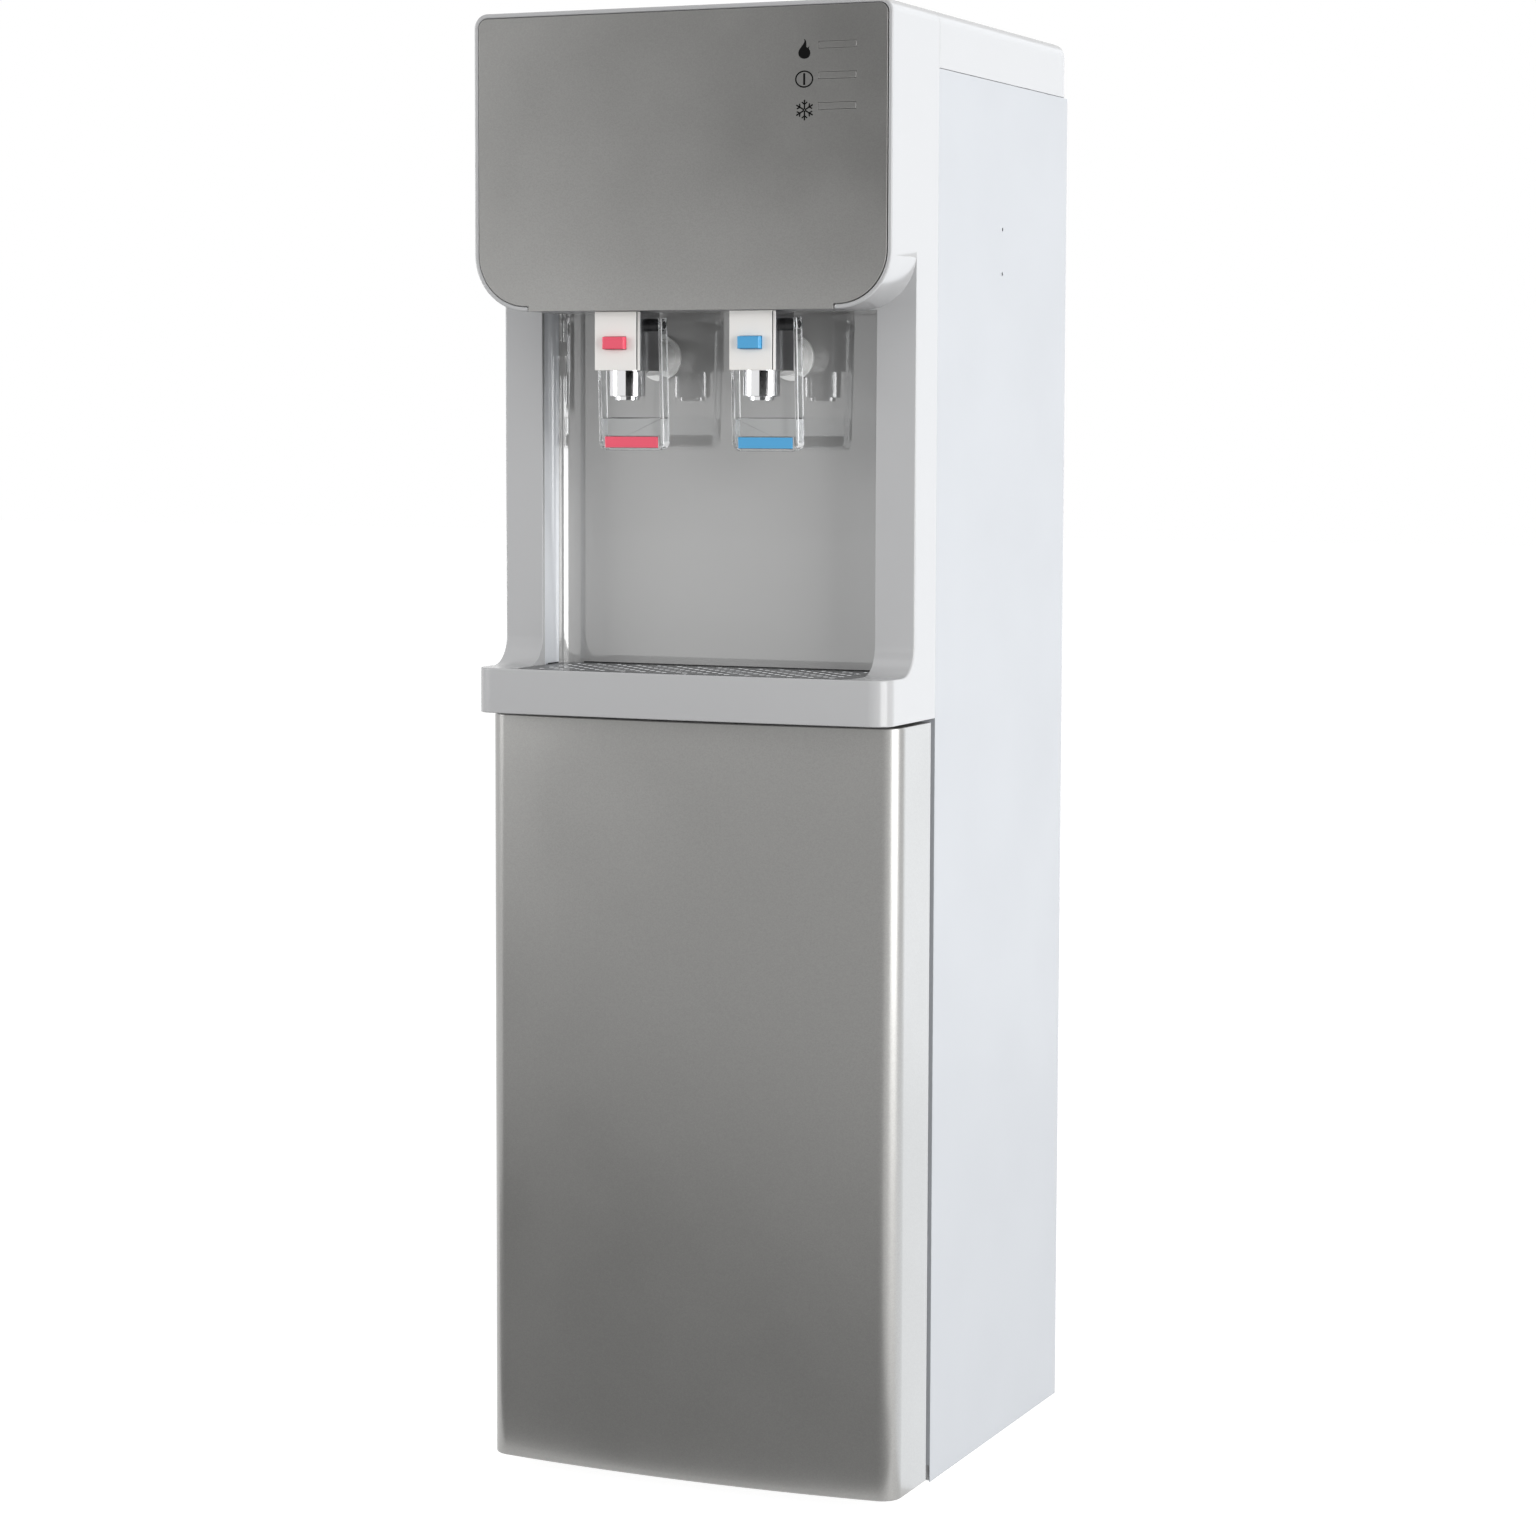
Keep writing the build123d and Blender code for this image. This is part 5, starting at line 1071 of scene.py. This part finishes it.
class DISPENSER_OT_cabinet(bpy.types.Operator):
    """Makes the filter cabinet with its manifold and three cartridges"""
    bl_idname = "dispenser.cabinet"
    bl_label = "Filter cabinet"

    def execute(self, context):
        thin = setting("sizes").thin_edge
        dressed("cabinet_liner", 2 * thin)
        dressed("filter_manifold", 2 * thin)
        ribs = grip_ribs_tree(finishes["grey_cap"])
        cap_height, cap_drop, cap_proud = 20 * MM, 27 * MM, 0.7 * MM
        rib_height, rib_width = cap_height - 2 * MM, 1.6 * MM
        band_height, band_drop, band_proud = 46 * MM, 20 * MM, 0.15 * MM
        for number in (1, 2, 3):
            node = f"filter_cartridge_{number}"
            body = body_of[node]
            dressed(node)
            low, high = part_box(node)
            radius = (high.x - low.x) / 2
            centre = Vector(((low.x + high.x) / 2, (low.y + high.y) / 2, 0))
            cap_top_z = high.z - cap_drop
            band_z = (low.z + high.z) / 2 - band_drop

            def sleeve(bottom_z, top_z, proud):
                """A build function for a sleeve around the cartridge."""
                outer = radius + proud
                return lambda shape: turned(
                    shape, [(radius, bottom_z), (outer, bottom_z), (outer, top_z), (radius, top_z)], centre)

            made(f"cartridge_cap_{number}", sleeve(cap_top_z - cap_height, cap_top_z, cap_proud), body,
                 "filter_white", "grey_cap")
            made(f"cartridge_band_{number}", sleeve(band_z, band_z + band_height, band_proud), body,
                 "filter_white", "blue_band")
            grown(f"cartridge_ribs_{number}", ribs,
                  {"Ring radius": radius + cap_proud, "Rib height": rib_height, "Rib width": rib_width},
                  (centre.x, centre.y, cap_top_z - cap_height / 2), body, "filter_white", "grey_cap")
        return {"FINISHED"}


# Back: panel, switches, inlets, condenser and compressor

def vent_hoods_tree(material):
    """Pressed hoods over the vent slots, on a grid in X and Z."""
    tree, given = repeat_tree("Vent hoods", "Hood length", "Hood radius")
    columns, rows, pitch_x, pitch_y = 2, 14, 150 * MM, 40 * MM
    grid = add_node(tree, "GeometryNodeMeshGrid", {
        "Vertices X": columns, "Vertices Y": rows, "Size X": (columns - 1) * pitch_x,
        "Size Y": (rows - 1) * pitch_y})
    hood = add_node(tree, "GeometryNodeMeshUVSphere", {"Segments": 20, "Rings": 10})
    half_length = calculate(tree, "MULTIPLY", given["Hood length"], 0.5)
    stretch = add_node(tree, "ShaderNodeCombineXYZ", {
        "X": half_length, "Y": given["Hood radius"], "Z": given["Hood radius"]})
    hoods = set_out(tree, grid.outputs["Mesh"], hood.outputs["Mesh"], Scale=stretch.outputs["Vector"])
    return end_tree(tree, hoods, material)


def screw_rows_tree(head, material):
    """Screw heads in two upright rows, placed in X and Z."""
    tree, given = repeat_tree("Screw rows", "Row spacing", "Screw spacing")
    head_mesh = add_node(tree, "GeometryNodeObjectInfo", {"Object": head}).outputs["Geometry"]
    both = tree.nodes.new("GeometryNodeJoinGeometry")
    for side in (-0.5, 0.5):
        across = calculate(tree, "MULTIPLY", given["Row spacing"], side)
        start = add_node(tree, "ShaderNodeCombineXYZ", {"X": across})
        step = add_node(tree, "ShaderNodeCombineXYZ", {"Z": given["Screw spacing"]})
        row = add_node(tree, "GeometryNodeMeshLine", {
            "Count": 5, "Start Location": start.outputs["Vector"], "Offset": step.outputs["Vector"]})
        heads = set_out(tree, row.outputs["Mesh"], head_mesh)
        tree.links.new(heads, both.inputs["Geometry"])
    return end_tree(tree, both.outputs["Geometry"], material)


def plain_piece(name, build):
    """A new object whose mesh a function fills, without smooth shading."""
    shape = bmesh.new()
    build(shape)
    bmesh.ops.recalc_face_normals(shape, faces=shape.faces)
    mesh = bpy.data.meshes.new(name)
    shape.to_mesh(mesh)
    shape.free()
    return linked(name, mesh)


def screw_head(diameter):
    """A pan head with a cross recess, its underside at the origin and its top towards the back."""
    radius = diameter / 2
    reach, thin, recess_y = 0.55 * radius, 0.12 * radius, 0.3 * radius

    def pan(shape):
        turned(shape, [(radius, 0), (radius, 0.3 * radius), (0.8 * radius, 0.52 * radius),
                       (0.4 * radius, 0.6 * radius), (0.1 * radius, 0.62 * radius)], (0, 0, 0), 20, "Y")

    def cross(shape):
        for half_x, half_z in ((reach, thin), (thin, reach)):
            block(shape, (-half_x, recess_y, -half_z), (half_x, radius, half_z))

    head, cutter = plain_piece("Screw head", pan), plain_piece("Cross", cross)
    cut = head.modifiers.new("Cross recess", "BOOLEAN")
    cut.object = cutter
    cut.operation = "DIFFERENCE"
    cut.solver = "EXACT"
    cut.use_self = True
    freeze(head)
    bpy.data.objects.remove(cutter)
    return head


class DISPENSER_OT_back(bpy.types.Operator):
    """Makes the back panel with its vents, screws, switches, inlets and drain plugs"""
    bl_idname = "dispenser.back"
    bl_label = "Back panel"

    def execute(self, context):
        for node in ("back_panel", "power_inlet", "water_inlet_fitting", "drain_plugs", "switch_housings",
                     "switch_rocker_hot", "switch_rocker_cold", "base_plate", "rubber_feet"):
            dressed(node)
        skin_y = back_low.y + 0.8 * MM
        hoods_z, lowest_screw_z = 583.5 * MM, 232 * MM
        upright = Matrix.Rotation(math.pi / 2, 4, "X")
        grown("vent_hoods", vent_hoods_tree(finishes["zinc_steel"]),
              {"Hood length": 64 * MM, "Hood radius": 3.4 * MM}, (0, skin_y, hoods_z), "cabinet",
              "zinc_steel", "zinc_steel", turn=upright)
        head = screw_head(setting("sizes").screw_head)
        grown("back_screws", screw_rows_tree(head, finishes["stainless"]),
              {"Row spacing": 296 * MM, "Screw spacing": 185 * MM},
              (0, skin_y, lowest_screw_z), "cabinet", "stainless", "stainless")
        bpy.data.objects.remove(head)
        return {"FINISHED"}


def wire_rows_tree(material):
    """Upright wires on both sides of the condenser tube."""
    tree, given = repeat_tree("Condenser wires", "Wire radius", "Length", "Row spacing", "Width")
    wire = add_node(tree, "GeometryNodeMeshCylinder", {
        "Vertices": 10, "Radius": given["Wire radius"], "Depth": given["Length"]})
    grid = add_node(tree, "GeometryNodeMeshGrid", {
        "Vertices X": 20, "Vertices Y": 2, "Size X": given["Width"], "Size Y": given["Row spacing"]})
    wires = set_out(tree, grid.outputs["Mesh"], wire.outputs["Mesh"])
    return end_tree(tree, wires, material)


class DISPENSER_OT_cooling(bpy.types.Operator):
    """Makes the condenser, the dryer, and the compressor with its fittings"""
    bl_idname = "dispenser.cooling"
    bl_label = "Cooling"

    def execute(self, context):
        thin = setting("sizes").thin_edge
        for node in ("condenser_tube", "condenser_bars", "bar_rivets", "filter_dryer", "compressor_mounts",
                     "compressor_bolts"):
            dressed(node, 0.5 * thin)
        dressed("compressor", 2 * thin)
        radius = 0.8 * MM
        middle = (wires_low + wires_high) / 2
        size = wires_high - wires_low
        wires = grown("condenser_wire_rows", wire_rows_tree(finishes["black_metal"]),
                      {"Wire radius": radius, "Length": size.z, "Row spacing": size.y - 2 * radius,
                       "Width": size.x - 2 * radius}, middle, "cabinet", "black_metal", "black_metal")
        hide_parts("condenser_wires")
        low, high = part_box("compressor")
        centre_x, centre_y = (low.x + high.x) / 2, 84 * MM
        cover_x = (centre_x - 75 * MM, centre_x - 49 * MM)
        cover_y = (centre_y - 22 * MM, centre_y + 22 * MM)
        cover_z = (low.z + 40 * MM, low.z + 92 * MM)

        def terminal_cover(shape):
            block(shape, (cover_x[0], cover_y[0], cover_z[0]), (cover_x[1], cover_y[1], cover_z[1]))

        made("compressor_terminal_cover", terminal_cover, "cabinet", "black_plastic", rounding=3 * MM,
             segments=3)

        def charging_tube(shape):
            turned(shape, [(3.2 * MM, 0), (3.2 * MM, 40 * MM), (1.2 * MM, 46 * MM)],
                   (centre_x + 34 * MM, centre_y + 20 * MM, high.z - 12 * MM), 20)

        made("compressor_charging_tube", charging_tube, "cabinet", "copper")
        return {"FINISHED"}


class DISPENSER_OT_inside(bpy.types.Operator):
    """Finishes the tanks, shelves and other pieces that stay hidden"""
    bl_idname = "dispenser.inside"
    bl_label = "Inside"

    def execute(self, context):
        painted("tank_shelves", "cold_insulation", "cold_tank", "evaporator_coil", "cold_tank_lid",
                "float_valve", "float_arm", "hot_tank", "hot_insulation")
        return {"FINISHED"}


class DISPENSER_PT_panel(bpy.types.Panel):
    """Lists the settings and the steps"""
    bl_idname = "DISPENSER_PT_panel"
    bl_label = "Water dispenser"
    bl_space_type = "VIEW_3D"
    bl_region_type = "UI"
    bl_category = "Dispenser"

    def draw(self, context):
        for name, group in settings_groups:
            column = self.layout.column(align=True)
            for title in group.__annotations__:
                column.prop(setting(name), title)
        for operator in operators:
            self.layout.operator(operator.bl_idname)


settings_groups = [("colours", DispenserColours), ("sizes", DispenserSizes), ("stage", DispenserStage)]
operators = [DISPENSER_OT_stage, DISPENSER_OT_front_frame, DISPENSER_OT_covers, DISPENSER_OT_head_panel,
             DISPENSER_OT_symbols, DISPENSER_OT_niche, DISPENSER_OT_drip_tray, DISPENSER_OT_taps,
             DISPENSER_OT_levers, DISPENSER_OT_door, DISPENSER_OT_cabinet, DISPENSER_OT_back,
             DISPENSER_OT_cooling, DISPENSER_OT_inside]


def register():
    """Registers the settings, the steps and the panel."""
    for name, group in settings_groups:
        bpy.utils.register_class(group)
        setattr(bpy.types.Scene, "dispenser_" + name, bpy.props.PointerProperty(type=group))
    for kind in [*operators, DISPENSER_PT_panel]:
        bpy.utils.register_class(kind)


def unregister():
    """Takes everything off again."""
    for kind in reversed([*operators, DISPENSER_PT_panel]):
        bpy.utils.unregister_class(kind)
    for name, group in reversed(settings_groups):
        delattr(bpy.types.Scene, "dispenser_" + name)
        bpy.utils.unregister_class(group)


def main():
    """Registers the add-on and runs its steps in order."""
    register()
    for operator in operators:
        step = operator.bl_idname.split(".")[1]
        getattr(bpy.ops.dispenser, step)()


if __name__ == "__main__":
    main()
